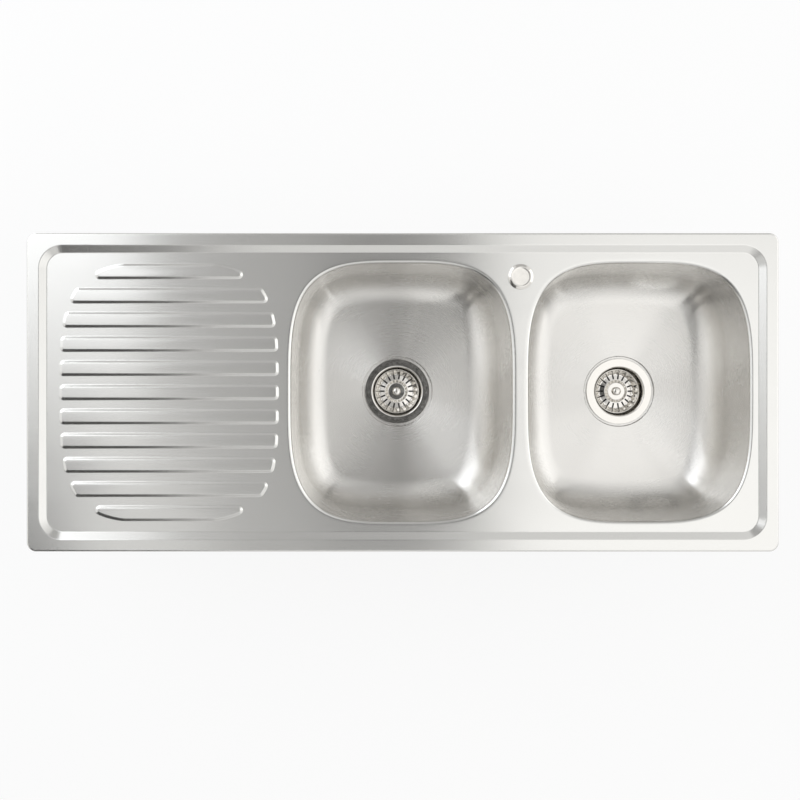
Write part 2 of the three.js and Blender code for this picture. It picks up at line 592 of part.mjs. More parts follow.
// The knob sits on the boss and its spigot goes down through it into the stem.
function basketKnob() {
  const seat = BOSS_FLAT + FIT_GAP;
  const top = seat + KNOB_HEIGHT;
  return turned([
    ...shares(KNOB_CROWN_SEGMENTS).map((share) => {
      const angle = (share * Math.PI) / 2;
      return [KNOB_RADIUS * Math.sin(angle), top - KNOB_CROWN * (1 - Math.cos(angle))];
    }),
    [KNOB_RADIUS, top - KNOB_HEAD_HEIGHT],
    [KNOB_NECK_RADIUS, top - KNOB_HEAD_HEIGHT - KNOB_CHAMFER],
    [KNOB_NECK_RADIUS, seat],
    [STEM_SPIGOT_RADIUS, seat],
    [STEM_SPIGOT_RADIUS, BOSS_FLAT - BASKET_SHEET - BASKET_BOSS_HEIGHT],
    [0, BOSS_FLAT - BASKET_SHEET - BASKET_BOSS_HEIGHT],
  ], SMALL_SEGMENTS);
}

// The stem screws up onto the knob's spigot, holds the seal between two collars and stands on the head of
// the waste screw.
function basketStem() {
  const top = BOSS_FLAT - BASKET_SHEET - FIT_GAP;
  const foot = SCREW_HEAD_SEAT + WASTE_SCREW_HEAD_HEIGHT + FIT_GAP;
  const spigotRoom = top - BASKET_BOSS_HEIGHT - FIT_GAP;
  const upper = SEAL_TOP + FIT_GAP;
  const lower = SEAL_FOOT - FIT_GAP;
  return turned([
    [STEM_HOLE_RADIUS, top],
    [STEM_RADIUS, top],
    [STEM_RADIUS, upper + STEM_COLLAR_THICKNESS],
    [STEM_COLLAR_RADIUS, upper + STEM_COLLAR_THICKNESS],
    [STEM_COLLAR_RADIUS, upper],
    [STEM_RADIUS, upper],
    [STEM_RADIUS, lower],
    [STEM_FOOT_RADIUS, lower],
    [STEM_FOOT_RADIUS, lower - STEM_COLLAR_THICKNESS],
    [STEM_RADIUS, foot],
    [0, foot],
    [0, spigotRoom],
    [STEM_HOLE_RADIUS, spigotRoom],
  ], SMALL_SEGMENTS);
}

// The seal's edge lies on the sloping ledge of the cup.
function basketSeal() {
  const bore = STEM_RADIUS + FIT_GAP;
  const reach = CUP_LEDGE_RADIUS + SEAL_LIP;
  return turned([
    [bore, SEAL_TOP],
    [reach, SEAL_TOP],
    [reach, SEAL_FOOT + SEAL_LIP * LEDGE_SLOPE],
    [CUP_LEDGE_RADIUS, SEAL_FOOT],
    [bore, SEAL_FOOT],
  ]);
}

// ---- Tap hole cap ----

function tapCap() {
  const flat = TAP_CAP_HEIGHT - TAP_CAP_DISH;
  const inner = TAP_CAP_RADIUS - TAP_CAP_BEAD;
  const crown = TAP_CAP_RADIUS - TAP_CAP_BEAD / 2;
  const eased = TAP_CAP_SHOULDER * (1 - Math.SQRT1_2);
  const t = TAP_CAP_SHEET;
  return turned([
    [0, flat],
    [inner, flat],
    [crown, TAP_CAP_HEIGHT],
    [TAP_CAP_RADIUS - TAP_CAP_SHOULDER, TAP_CAP_HEIGHT],
    [TAP_CAP_RADIUS - eased, TAP_CAP_HEIGHT - eased],
    [TAP_CAP_RADIUS, TAP_CAP_HEIGHT - TAP_CAP_SHOULDER],
    [TAP_CAP_RADIUS, FIT_GAP],
    [TAP_CAP_RADIUS - t, FIT_GAP],
    [TAP_CAP_RADIUS - t, TAP_CAP_HEIGHT - TAP_CAP_SHOULDER],
    [crown, TAP_CAP_HEIGHT - t],
    [inner + t, flat - t],
    [0, flat - t],
  ]).translate([0, 0, DECK_TOP]);
}

const TAP_STUD_TOP = DECK_TOP + TAP_CAP_HEIGHT - TAP_CAP_DISH - TAP_CAP_SHEET - FIT_GAP;

function tapSeal() {
  const outer = TAP_CAP_RADIUS - TAP_CAP_SHEET - FIT_GAP;
  const top = DECK_TOP + TAP_CAP_HEIGHT - TAP_CAP_SHOULDER - FIT_GAP;
  return tube(outer - TAP_SEAL_WIDTH, outer, DECK_TOP + FIT_GAP, top);
}

const tapStud = () => turned([
  [0, TAP_STUD_TOP],
  [TAP_STUD_HEAD_RADIUS, TAP_STUD_TOP],
  [TAP_STUD_HEAD_RADIUS, TAP_STUD_TOP - TAP_STUD_HEAD_THICKNESS],
  [TAP_STUD_RADIUS, TAP_STUD_TOP - TAP_STUD_HEAD_THICKNESS],
  [TAP_STUD_RADIUS, TAP_STUD_TOP - TAP_STUD_LENGTH],
  [0, TAP_STUD_TOP - TAP_STUD_LENGTH],
], SMALL_SEGMENTS);

const TAP_WASHER_TOP = DECK_UNDERSIDE - FIT_GAP;
const WING_NUT_TOP = TAP_WASHER_TOP - TAP_WASHER_THICKNESS - FIT_GAP;
const TAP_STUD_HOLE = TAP_STUD_RADIUS + FIT_GAP;
const tapWasher = () =>
  tube(TAP_STUD_HOLE, TAP_WASHER_RADIUS, TAP_WASHER_TOP - TAP_WASHER_THICKNESS, TAP_WASHER_TOP);

function wingNut() {
  const half = WING_SPAN / 2;
  const foot = WING_NUT_TOP - WING_NUT_HEIGHT;
  const tip = WING_NUT_TOP - WING_HEIGHT;
  const root = WING_NUT_RADIUS - WING_ROOT;
  const barrel = cylinder(WING_NUT_RADIUS, foot, WING_NUT_TOP, SCREW_SEGMENTS);
  const right = [
    [root, foot],
    [half / 2, tip],
    [half, tip],
    [half - WING_ROOT, foot + WING_NUT_HEIGHT / 3],
    [root, WING_NUT_TOP - WING_ROOT],
  ];
  const left = right.map(([x, z]) => [-x, z]).reverse();
  const wings = strip([...right, ...left], WING_THICKNESS);
  const thread = cylinder(TAP_STUD_HOLE, tip - SHEET_REACH, WING_NUT_TOP + SHEET_REACH, SCREW_SEGMENTS);
  return barrel.add(wings).subtract(thread);
}

// ---- Rim seal ----

function rimSeal() {
  const top = RIM_HEIGHT - SHEET - FIT_GAP;
  const radius = OUTLINE_CORNER_RADIUS - SEAL_STRIP_INSET;
  const loop = (inset, z) => roundedLoop(SINK_LENGTH / 2 - inset, SINK_WIDTH / 2 - inset, radius, z);
  const outer = SEAL_STRIP_INSET;
  const inner = SEAL_STRIP_INSET + SEAL_STRIP_WIDTH;
  return body([loop(outer, 0), loop(outer, top), loop(inner, top), loop(inner, 0)], true);
}

// ---- Clips ----

const CLIP_Y = SINK_WIDTH / 2 - CLIP_SIDE_MARGIN;
const CLIP_XS = [
  CLIP_END_MARGIN - SINK_LENGTH / 2,
  BOWL_XS.left - BOWL_HALF_LENGTH - CLIP_BOWL_MARGIN,
  TAP_HOLE_X,
  SINK_LENGTH / 2 - CLIP_END_MARGIN,
];
const BRACKET_TOP = DECK_UNDERSIDE - FIT_GAP;
const BRIDGE_LEVEL = BRACKET_TOP - BRACKET_DROP;

// A hat-shaped bracket welded under the deck, with a tapped hole in its bridge.
function clipBracket() {
  const half = BRACKET_LENGTH / 2;
  const leg = half - BRACKET_FOOT;
  const t = CLIP_SHEET;
  const right = [
    [leg, BRIDGE_LEVEL - t],
    [leg, BRACKET_TOP - t],
    [half, BRACKET_TOP - t],
    [half, BRACKET_TOP],
    [leg - t, BRACKET_TOP],
    [leg - t, BRIDGE_LEVEL],
  ];
  const left = right.map(([x, z]) => [-x, z]).reverse();
  const bore = CLIP_SCREW_RADIUS + FIT_GAP;
  const hole = cylinder(bore, BRIDGE_LEVEL - 2 * t, BRIDGE_LEVEL + t, SCREW_SEGMENTS);
  return strip([...right, ...left], BRACKET_WIDTH).subtract(hole);
}

const FOOT_UNDERSIDE = -FOOT_LEVEL - FOOT_SHEET;

function clipScrew() {
  const seat = FOOT_UNDERSIDE - FIT_GAP;
  const tip = BRIDGE_LEVEL + CLIP_SCREW_TOP;
  return turned([
    [0, tip],
    [CLIP_SCREW_RADIUS - CLIP_SCREW_CHAMFER, tip],
    [CLIP_SCREW_RADIUS, tip - CLIP_SCREW_CHAMFER],
    [CLIP_SCREW_RADIUS, seat],
    [CLIP_SCREW_HEAD_RADIUS, seat],
    [CLIP_SCREW_HEAD_RADIUS, seat - CLIP_SCREW_HEAD_HEIGHT / 2],
    [CLIP_SCREW_HEAD_RADIUS - CLIP_SCREW_HEAD_HEIGHT / 2, seat - CLIP_SCREW_HEAD_HEIGHT],
    [0, seat - CLIP_SCREW_HEAD_HEIGHT],
  ], SCREW_SEGMENTS);
}

// The foot turns about its screw. It is drawn stowed along +X: the tip bites under the worktop.
function clipFoot() {
  const t = FOOT_SHEET;
  const bent = strip([
    [-FOOT_TAIL, FOOT_UNDERSIDE],
    [FOOT_REACH, FOOT_UNDERSIDE],
    [FOOT_REACH, FOOT_TIP_HEIGHT - FOOT_LEVEL],
    [FOOT_REACH - t, FOOT_TIP_HEIGHT - FOOT_LEVEL],
    [FOOT_REACH - t, -FOOT_LEVEL],
    [t - FOOT_TAIL, -FOOT_LEVEL],
    [t - FOOT_TAIL, FOOT_TAIL_HEIGHT - FOOT_LEVEL],
    [-FOOT_TAIL, FOOT_TAIL_HEIGHT - FOOT_LEVEL],
  ], FOOT_WIDTH);
  const hole = cylinder(CLIP_SCREW_RADIUS + FOOT_PLAY, FOOT_UNDERSIDE - t, -FOOT_LEVEL + t, SCREW_SEGMENTS);
  return bent.subtract(hole);
}

// ---- Assembly ----

const sink = new THREE.Group();

function place(name, made, material, x = 0, y = 0, turn = 0) {
  const mesh = new THREE.Mesh(geometryOf(made), material.clone());
  mesh.name = name;
  mesh.position.set(x, y, 0);
  mesh.rotation.z = turn;
  sink.add(mesh);
}

place("deck", deck(), SATIN_STEEL);
place("rim_seal", rimSeal(), GREY_FOAM);
for (const [side, x] of Object.entries(BOWL_XS)) {
  place(`${side}_bowl`, bowl(), BOWL_STEEL, x);
  place(`${side}_sound_pad`, soundPad(), BITUMEN, x);
  place(`${side}_strainer_cup`, strainerCup(), POLISHED_STEEL, x);
  place(`${side}_cup_gasket`, cupGasket(), BLACK_RUBBER, x);
  place(`${side}_lower_gasket`, lowerGasket(), BLACK_RUBBER, x);
  place(`${side}_waste_body`, wasteBody(), BLACK_PLASTIC, x);
  place(`${side}_waste_screw`, wasteScrew(), POLISHED_STEEL, x);
  place(`${side}_basket`, basket(), POLISHED_STEEL, x);
  place(`${side}_basket_knob`, basketKnob(), POLISHED_STEEL, x);
  place(`${side}_basket_stem`, basketStem(), WHITE_PLASTIC, x);
  place(`${side}_basket_seal`, basketSeal(), BLACK_RUBBER, x);
}

place("tap_hole_cap", tapCap(), POLISHED_STEEL, TAP_HOLE_X, TAP_HOLE_Y);
place("tap_cap_seal", tapSeal(), BLACK_RUBBER, TAP_HOLE_X, TAP_HOLE_Y);
place("tap_cap_stud", tapStud(), ZINC_STEEL, TAP_HOLE_X, TAP_HOLE_Y);
place("tap_cap_washer", tapWasher(), WHITE_PLASTIC, TAP_HOLE_X, TAP_HOLE_Y);
place("tap_cap_wing_nut", wingNut(), ZINC_STEEL, TAP_HOLE_X, TAP_HOLE_Y);

for (const [edge, y] of [["front", -CLIP_Y], ["back", CLIP_Y]]) {
  CLIP_XS.forEach((x, k) => {
    const name = `${edge}_clip_${k + 1}`;
    const turn = k === 1 ? Math.PI : 0; // this foot is stowed towards the drainer, the others to +X
    place(`${name}_bracket`, clipBracket(), ZINC_STEEL, x, y);
    place(`${name}_screw`, clipScrew(), ZINC_STEEL, x, y);
    place(`${name}_foot`, clipFoot(), ZINC_STEEL, x, y, turn);
  });
}

export default sink;
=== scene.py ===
"""A stainless steel double bowl kitchen sink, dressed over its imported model.

The deck is one pressed sheet with a ribbed drainer, two bowls are welded to its rolled lips, and a basket
strainer hangs in the floor of each. Sizes are in millimetres and become metres where a mesh is written.
"""
import logging
import math
from collections.abc import Callable, Sequence
from dataclasses import dataclass
from enum import Enum, IntEnum

import bmesh
import bpy
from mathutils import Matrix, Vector
from mathutils.geometry import delaunay_2d_cdt


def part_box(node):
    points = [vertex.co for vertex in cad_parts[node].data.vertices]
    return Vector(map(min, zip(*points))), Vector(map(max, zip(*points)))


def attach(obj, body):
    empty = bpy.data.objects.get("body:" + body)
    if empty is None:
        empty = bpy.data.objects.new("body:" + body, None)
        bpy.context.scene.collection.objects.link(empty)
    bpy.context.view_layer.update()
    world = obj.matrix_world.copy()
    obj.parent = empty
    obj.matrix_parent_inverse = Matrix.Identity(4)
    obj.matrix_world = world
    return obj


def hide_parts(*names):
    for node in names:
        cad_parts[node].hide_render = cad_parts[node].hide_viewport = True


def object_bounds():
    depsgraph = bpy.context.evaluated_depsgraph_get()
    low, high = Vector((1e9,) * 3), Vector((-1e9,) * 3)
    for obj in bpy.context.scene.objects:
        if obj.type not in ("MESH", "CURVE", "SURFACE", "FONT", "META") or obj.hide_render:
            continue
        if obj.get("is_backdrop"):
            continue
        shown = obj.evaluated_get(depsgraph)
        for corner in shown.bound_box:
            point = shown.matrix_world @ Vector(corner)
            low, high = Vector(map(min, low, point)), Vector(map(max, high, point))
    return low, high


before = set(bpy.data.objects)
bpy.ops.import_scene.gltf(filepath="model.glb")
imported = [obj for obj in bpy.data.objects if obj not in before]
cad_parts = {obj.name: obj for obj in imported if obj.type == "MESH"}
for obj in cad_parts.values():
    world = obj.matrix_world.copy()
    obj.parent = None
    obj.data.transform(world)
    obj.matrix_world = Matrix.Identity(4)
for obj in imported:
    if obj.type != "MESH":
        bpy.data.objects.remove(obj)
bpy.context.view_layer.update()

MM = 0.001
TURN = 2 * math.pi
ACROSS_GRAIN = "across_grain"  # the UV map whose U runs across the deck's grain
MERGE = 0.001  # points nearer to each other than this become one
FILL_INSIDE, FILL_PRECISION = 1, 1e-5  # how a level area is cut into triangles
LARGEST_CUT = 0.48  # of a side, where the corner at its end is rounded
THREAD_SINK = 0.1  # how far a thread's ridge reaches into its core
THREAD_FOOT, THREAD_CREST = 0.44, 0.09  # half a ridge's width there, as shares of the pitch
NOISE_LOW, NOISE_HIGH = 0.3, 0.7  # nearly all of a noise's values lie between these
NOISE_ROUGHNESS = 0.6

FIT = 0.3  # clearance of a pin in its hole, and between pieces that sit on each other
STEEL_SHEET = 0.8  # of the deck, the bowls and the strainer cups
DRAFT_DEGREES = 4.5  # of the bowls' walls
log = logging.getLogger("sink")

Point = tuple[float, float, float]
Loop = list[Point]
Profile = list[tuple[float, float]]
Offsets = tuple[tuple[float, float], ...]
Corners = list[tuple[float, float, float]]
Ring = Sequence[bmesh.types.BMVert]
Tree = bpy.types.NodeTree
Socket = bpy.types.NodeSocket
Inputs = dict[str | int, object]


class Segments(IntEnum):
    """Segments in a full turn, by what is turned."""

    FLANGE = 128
    CUP = 96
    RING = 64
    STEM = 48
    SCREW = 40
    NUT = 32
    BORE = 24


# ---- Shapes ----


def spaced(start: float, end: float, steps: int) -> list[float]:
    """Returns steps + 1 even values from start to end."""
    return [start + (end - start) * k / steps for k in range(steps + 1)]


def lerp(low: float, high: float, share: float) -> float:
    """Returns the value that lies share of the way from low to high."""
    return low + (high - low) * share


def s_bend(run: float, drop: float, radius: float, steps: int = 6) -> Profile:
    """Bends a sheet down a step: a fillet, a straight slope and a second fillet.

    Args:
        run: How far the step goes across.
        drop: How far it goes down.
        radius: The radius of both fillets.
        steps: Segments in each fillet.

    Returns:
        Points (across, height) from (0, 0) to (run, -drop).
    """
    reach = math.hypot(run, drop - 2 * radius)
    angle = math.asin(2 * radius / reach) + math.atan2(drop - 2 * radius, run)
    fillet = [(radius * math.sin(a), radius * (math.cos(a) - 1)) for a in spaced(0, angle, steps)]
    return fillet + [(run - across, -drop - height) for across, height in reversed(fillet)]


def rounded(corners: Corners, closed: bool = True, steps: int = 4) -> Profile:
    """Rounds each corner of an outline by a radius of its own.

    Args:
        corners: Corners as (across, height, radius).
        closed: Whether the last corner joins the first; the ends of an open outline stay sharp.
        steps: Segments in each rounding.

    Returns:
        The outline's points.
    """
    outline: Profile = []
    count = len(corners)
    for k, (x, z, radius) in enumerate(corners):
        if radius == 0 or (not closed and k in (0, count - 1)):
            outline.append((x, z))
            continue
        corner = Vector((x, z))
        before = Vector(corners[k - 1][:2]) - corner
        after = Vector(corners[(k + 1) % count][:2]) - corner
        half = before.angle(after) / 2
        cut = min(radius / math.tan(half), LARGEST_CUT * before.length, LARGEST_CUT * after.length)
        start = corner + before.normalized() * cut
        end = corner + after.normalized() * cut
        for t in spaced(0, 1, steps):
            point = start.lerp(corner, t).lerp(corner.lerp(end, t), t)
            outline.append((point.x, point.y))
    return outline


def circle(radius: float, z: float, count: int, x: float = 0.0, y: float = 0.0) -> Loop:
    """Returns a level circle of count points round (x, y)."""
    return [(x + radius * math.cos(a), y + radius * math.sin(a), z) for a in spaced(0, TURN, count)[:-1]]


def rounded_rectangle(half_x: float, half_y: float, radius: float, z: float, steps: int = 14) -> Loop:
    """Draws a level rectangle with round corners about the origin.

    Args:
        half_x: Half its length along X.
        half_y: Half its length along Y.
        radius: The radius of its corners.
        z: Its height.
        steps: Segments in each corner.

    Returns:
        The rectangle's points.
    """
    loop: Loop = []
    for quarter, (side_x, side_y) in enumerate(((1, 1), (-1, 1), (-1, -1), (1, -1))):
        for share in spaced(0, 1, steps):
            angle = (quarter + share) * math.pi / 2
            x = side_x * (half_x - radius) + radius * math.cos(angle)
            y = side_y * (half_y - radius) + radius * math.sin(angle)
            loop.append((x, y, z))
    return loop


def between(low: Loop, high: Loop, share: float) -> Loop:
    """Returns the loop that lies share of the way from one loop to another of equal count."""
    return [tuple(lerp(p, q, share) for p, q in zip(a, b)) for a, b in zip(low, high)]


@dataclass(frozen=True)
class Superellipse:
    """The curve of a bowl's mouth or of the drainer's outline."""

    half_length: float
    half_width: float
    squareness: float
    count: int = 192
    fine_count: int = 4000

    def at(self, angle: float) -> Vector:
        """Finds a point of the curve.

        Args:
            angle: The curve's own parameter, from 0 to a full turn.

        Returns:
            The point.
        """
        cos, sin = math.cos(angle), math.sin(angle)
        share = 2 / self.squareness
        x = self.half_length * math.copysign(abs(cos) ** share, cos)
        y = self.half_width * math.copysign(abs(sin) ** share, sin)
        return Vector((x, y))

    def reach(self, y: float) -> float:
        """Returns how far the curve lies from the middle at a height y."""
        return self.half_length * (1 - abs(y / self.half_width) ** self.squareness) ** (1 / self.squareness)

    def normal(self, x: float, y: float) -> Vector:
        """Finds the outward normal at a point of the curve.

        Args:
            x: The point along X.
            y: The point along Y.

        Returns:
            The normal, of length 1.
        """
        slope = self.squareness - 1
        along = math.copysign(abs(x / self.half_length) ** slope, x) / self.half_length
        across = math.copysign(abs(y / self.half_width) ** slope, y) / self.half_width
        return Vector((along, across)).normalized()

    def points(self) -> list[Vector]:
        """Spaces points evenly along the curve.

        Returns:
            As many points as count says.
        """
        fine = [self.at(a) for a in spaced(0, TURN, self.fine_count)]
        travelled = [0.0]
        for a, b in zip(fine, fine[1:]):
            travelled.append(travelled[-1] + (b - a).length)
        chosen: list[Vector] = []
        k = 0
        for wanted in spaced(0, travelled[-1], self.count)[:-1]:
            while travelled[k + 1] < wanted:
                k += 1
            share = (wanted - travelled[k]) / (travelled[k + 1] - travelled[k])
            chosen.append(fine[k].lerp(fine[k + 1], share))
        return chosen

    def offset(self, inset: float, z: float, x: float = 0.0) -> Loop:
        """Moves the curve square to itself.

        Args:
            inset: How far inwards; negative is outwards.
            z: The height of the loop.
            x: The middle of the curve.

        Returns:
            The moved loop.
        """
        loop: Loop = []
        for p in self.points():
            normal = self.normal(p.x, p.y)
            loop.append((x + p.x - inset * normal.x, p.y - inset * normal.y, z))
        return loop


class Shell:
    """A mesh under construction, in millimetres."""

    def __init__(self) -> None:
        """Starts empty."""
        self.mesh = bmesh.new()

    def ring(self, loop: Loop) -> list[bmesh.types.BMVert]:
        """Adds the points of a loop and returns them."""
        return [self.mesh.verts.new(point) for point in loop]

    def band(self, low: Ring, high: Ring, skips: Callable[[int], bool] = lambda i: False) -> None:
        """Joins two rings of equal count with a band of faces.

        Args:
            low: The first ring.
            high: The second ring.
            skips: Says by number which faces are left out.
        """
        count = len(low)
        for i in range(count):
            j = (i + 1) % count
            if not skips(i):
                self.mesh.faces.new((low[i], low[j], high[j], high[i]))

    def loft(self, loops: Sequence[Loop], wraps: bool = False) -> list[Ring]:
        """Lays a skin over a stack of loops.

        Args:
            loops: Loops of equal count.
            wraps: Whether the last loop joins the first.

        Returns:
            The rings of the stack.
        """
        rings = [self.ring(loop) for loop in loops]
        for low, high in zip(rings, rings[1:] + (rings[:1] if wraps else [])):
            self.band(low, high)
        return rings

    def turn(self, profile: Profile, count: int, wraps: bool = False) -> None:
        """Turns a profile about the upright axis.

        Args:
            profile: Points (radius, height); a radius of 0 at an end closes the piece there.
            count: Segments in a full turn.
            wraps: Whether the last point joins the first.
        """
        rings = self.loft([circle(radius, z, count) for radius, z in profile if radius > 0], wraps)
        for ring, (radius, z) in ((rings[0], profile[0]), (rings[-1], profile[-1])):
            if radius > 0:
                continue
            tip = self.mesh.verts.new((0, 0, z))
            for i in range(count):
                self.mesh.faces.new((ring[i], ring[(i + 1) % count], tip))

    def fill(self, *rings: Ring) -> None:
        """Fills the level area inside the first ring and outside the others.

        Args:
            rings: The outer ring, then the holes.
        """
        verts = [vert for ring in rings for vert in ring]
        outlines = []
        for ring in rings:
            start = sum(map(len, outlines))
            outlines.append(list(range(start, start + len(ring))))
        flat = [vert.co.xy for vert in verts]
        cut = delaunay_2d_cdt(flat, [], outlines, FILL_INSIDE, FILL_PRECISION)
        _, _, faces, sources, _, owners = cut
        for face, inside in zip(faces, owners):
            if inside == [0]:
                self.mesh.faces.new([verts[sources[k][0]] for k in face])

    def socket(self, ring: Ring, outline: Loop, depth: float) -> None:
        """Closes a level ring with a face that has a blind recess in it.

        Args:
            ring: The ring to close.
            outline: The recess's outline, at the ring's height.
            depth: How far down the recess goes; negative is up.
        """
        mouth = self.ring(outline)
        floor = self.ring([(x, y, z - depth) for x, y, z in outline])
        self.fill(ring, mouth)
        self.band(mouth, floor)
        self.mesh.faces.new(floor)

    def strip(self, outline: Profile, width: float, turn: float = 0.0) -> None:
        """Draws a closed outline in X and Z out along Y, about the middle.

        Args:
            outline: Points (x, z).
            width: The width along Y.
            turn: An angle about the upright axis.
        """
        cos, sin = math.cos(turn), math.sin(turn)
        near = self.ring([(x * cos + width / 2 * sin, x * sin - width / 2 * cos, z) for x, z in outline])
        far = self.ring([(x * cos - width / 2 * sin, x * sin + width / 2 * cos, z) for x, z in outline])
        self.band(near, far)
        self.mesh.faces.new(near)
        self.mesh.faces.new(list(reversed(far)))

    def bent(self, path: Profile, width: float, hole: float, level: float, flat: float) -> None:
        """Bends a strip of sheet along a path and drills its level middle.

        Args:
            path: The upper face as points (x, z), with x rising along the level middle.
            width: The strip's width along Y.
            hole: The radius of the hole at the origin.
            level: The height of the middle.
            flat: Half the length of the patch that the hole is drilled in.
        """
        middle = next(k for k, (x, _) in enumerate(path) if x > 0)
        halves = path[:middle] + [(-flat, level)], [(flat, level)] + path[middle:]
        corners = []
        for half in halves:
            rows = [(self.mesh.verts.new((x, -width / 2, z)), self.mesh.verts.new((x, width / 2, z)))
                    for x, z in half]
            for (a, b), (c, d) in zip(rows, rows[1:]):
                self.mesh.faces.new((a, c, d, b))
            corners.append(rows[-1] if half is halves[0] else rows[0])
        (a, b), (c, d) = corners
        self.fill((a, c, d, b), self.ring(circle(hole, level, Segments.BORE)))

    def thread(
        self, core: float, crest: float, pitch: float, low: float, high: float, count: int = Segments.NUT
    ) -> None:
        """Winds a thread's ridge round a cylinder on the upright axis.

        Args:
            core: The radius at the thread's root.
            crest: The radius at its crest.
            pitch: The rise in a turn.
            low: The height where the thread starts.
            high: The height where it ends.
            count: Segments in a turn.
        """
        steps = round(((high - low) / pitch - 1) * count)
        fade = count // 4
        root = core - THREAD_SINK
        rings = []
        for k in range(steps + 1):
            angle = TURN * k / count
            z = low + pitch / 2 + pitch * k / count
            tip = lerp(core, crest, min(1.0, k / fade, (steps - k) / fade))
            section = ((root, -THREAD_FOOT), (tip, -THREAD_CREST), (tip, THREAD_CREST), (root, THREAD_FOOT))
            rings.append(self.ring([(r * math.cos(angle), r * math.sin(angle), z + h * pitch)
                                    for r, h in section]))
        for a, b in zip(rings, rings[1:]):
            self.band(a, b)
        self.mesh.faces.new(rings[0])
        self.mesh.faces.new(list(reversed(rings[-1])))

    def move(self, x: float, y: float, turn: float = 0.0) -> None:
        """Turns everything about the upright axis, then moves it.

        Args:
            x: How far it moves along X.
            y: How far it moves along Y.
            turn: The angle it turns by first.
        """
        cos, sin = math.cos(turn), math.sin(turn)
        for vert in self.mesh.verts:
            px, py = vert.co.x, vert.co.y
            vert.co.x = x + px * cos - py * sin
            vert.co.y = y + px * sin + py * cos


class Facing(Enum):
    """How the faces of a finished mesh are turned."""

    OUT = "out of a closed body"
    UP = "up from an open sheet"


@dataclass
class Piece:
    """One piece of the sink: a mesh that rides on a body and stands for a node of the model."""

    node: str
    body: str
    finish: "Finish"
    slot: str
    facing: Facing = Facing.OUT
    crease_degrees: float = 32.0
    sheet: float = 0.0
    bevel: float = 0.0
    bevel_segments: int = 2
    bevel_degrees: float = 40.0

    def write(self, shell: Shell) -> None:
        """Writes the shell as an object, dresses it and hangs it on its body.

        Args:
            shell: The finished shell; it is used up.
        """
        bm = shell.mesh
        bmesh.ops.remove_doubles(bm, verts=bm.verts, dist=MERGE)
        bmesh.ops.recalc_face_normals(bm, faces=bm.faces)
        if self.facing is Facing.UP and sum(f.normal.z * f.calc_area() for f in bm.faces) < 0:
            bmesh.ops.reverse_faces(bm, faces=bm.faces)
        bmesh.ops.scale(bm, vec=(MM, MM, MM), verts=bm.verts)
        across = bm.loops.layers.uv.new(ACROSS_GRAIN)
        for face in bm.faces:
            for corner in face.loops:
                corner[across].uv = corner.vert.co.yx
        mesh = bpy.data.meshes.new(f"{self.node}_mesh")
        bm.to_mesh(mesh)
        bm.free()
        mesh.shade_smooth()
        mesh.set_sharp_from_angle(angle=math.radians(self.crease_degrees))
        made = bpy.data.objects.new(f"{self.node}_dressed", mesh)
        bpy.context.scene.collection.objects.link(made)
        self._thicken(made)
        made.data.materials.append(self.finish.material())
        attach(made, self.body)
        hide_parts(self.node)
        log.info("%s: %d faces, on %s", made.name, len(mesh.polygons), self.body)

    def _thicken(self, made: bpy.types.Object) -> None:
        """Gives an open sheet its thickness, a piece its worn edges, and both a clean shine at a crease.

        Args:
            made: The object.
        """
        if self.sheet:
            solidify = made.modifiers.new("sheet", "SOLIDIFY")
            solidify.thickness = self.sheet * MM
            solidify.offset = -1
            solidify.use_even_offset = True
            solidify.use_quality_normals = True
        if self.bevel:
            bevel = made.modifiers.new("edges", "BEVEL")
            bevel.width = self.bevel * MM
            bevel.segments = self.bevel_segments
            bevel.limit_method = "ANGLE"
            bevel.angle_limit = math.radians(self.bevel_degrees)
        if self.sheet or self.bevel:
            split = made.modifiers.new("creases", "EDGE_SPLIT")
            split.split_angle = math.radians(self.crease_degrees)


def centre(node: str) -> Vector:
    """Returns the middle of a node's box, in millimetres."""
    low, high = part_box(node)
    return (Vector(low) + Vector(high)) / (2 * MM)


def top(node: str) -> float:
    """Returns the height of a node's highest point, in millimetres."""
    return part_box(node)[1][2] / MM


def foot(node: str) -> float:
    """Returns the height of a node's lowest point, in millimetres."""
    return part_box(node)[0][2] / MM


def half_size(node: str) -> tuple[float, float]:
    """Returns half the length and half the width of a node's box, in millimetres."""
    low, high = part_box(node)
    return (high[0] - low[0]) / MM / 2, (high[1] - low[1]) / MM / 2


# ---- Finishes ----


def linear(code: str) -> tuple[float, float, float, float]:
    """Turns a colour into the shaders' own values.

    Args:
        code: An sRGB hex colour.

    Returns:
        Its linear red, green and blue, and an alpha of 1.
    """
    parts = [int(code[k : k + 2], 16) / 255 for k in (1, 3, 5)]
    r, g, b = (p / 12.92 if p <= 0.04045 else ((p + 0.055) / 1.055) ** 2.4 for p in parts)
    return (r, g, b, 1.0)


def add_node(
    tree: Tree, kind: str, settings: Inputs | None = None, links: Inputs | None = None
) -> bpy.types.Node:
    """Adds a node with its settings and links.

    Args:
        tree: The tree it goes into.
        kind: The node's type.
        settings: Values by input name, input number or attribute.
        links: The sockets that feed its inputs, by name or number.

    Returns:
        The new node.
    """
    made = tree.nodes.new(kind)
    attributes = {k: v for k, v in (settings or {}).items() if isinstance(k, str) and hasattr(made, k)}
    for name, value in attributes.items():
        setattr(made, name, value)
    for name, value in (settings or {}).items():
        if name not in attributes:
            made.inputs[name].default_value = value
    for name, socket in (links or {}).items():
        tree.links.new(made.inputs[name], socket)
    return made


def empty_tree(owner: bpy.types.Material | bpy.types.World) -> Tree:
    """Gives a material or a world an empty node tree.

    Args:
        owner: The material or world.

    Returns:
        Its tree.
    """
    owner.use_nodes = True
    owner.node_tree.nodes.clear()
    return owner.node_tree


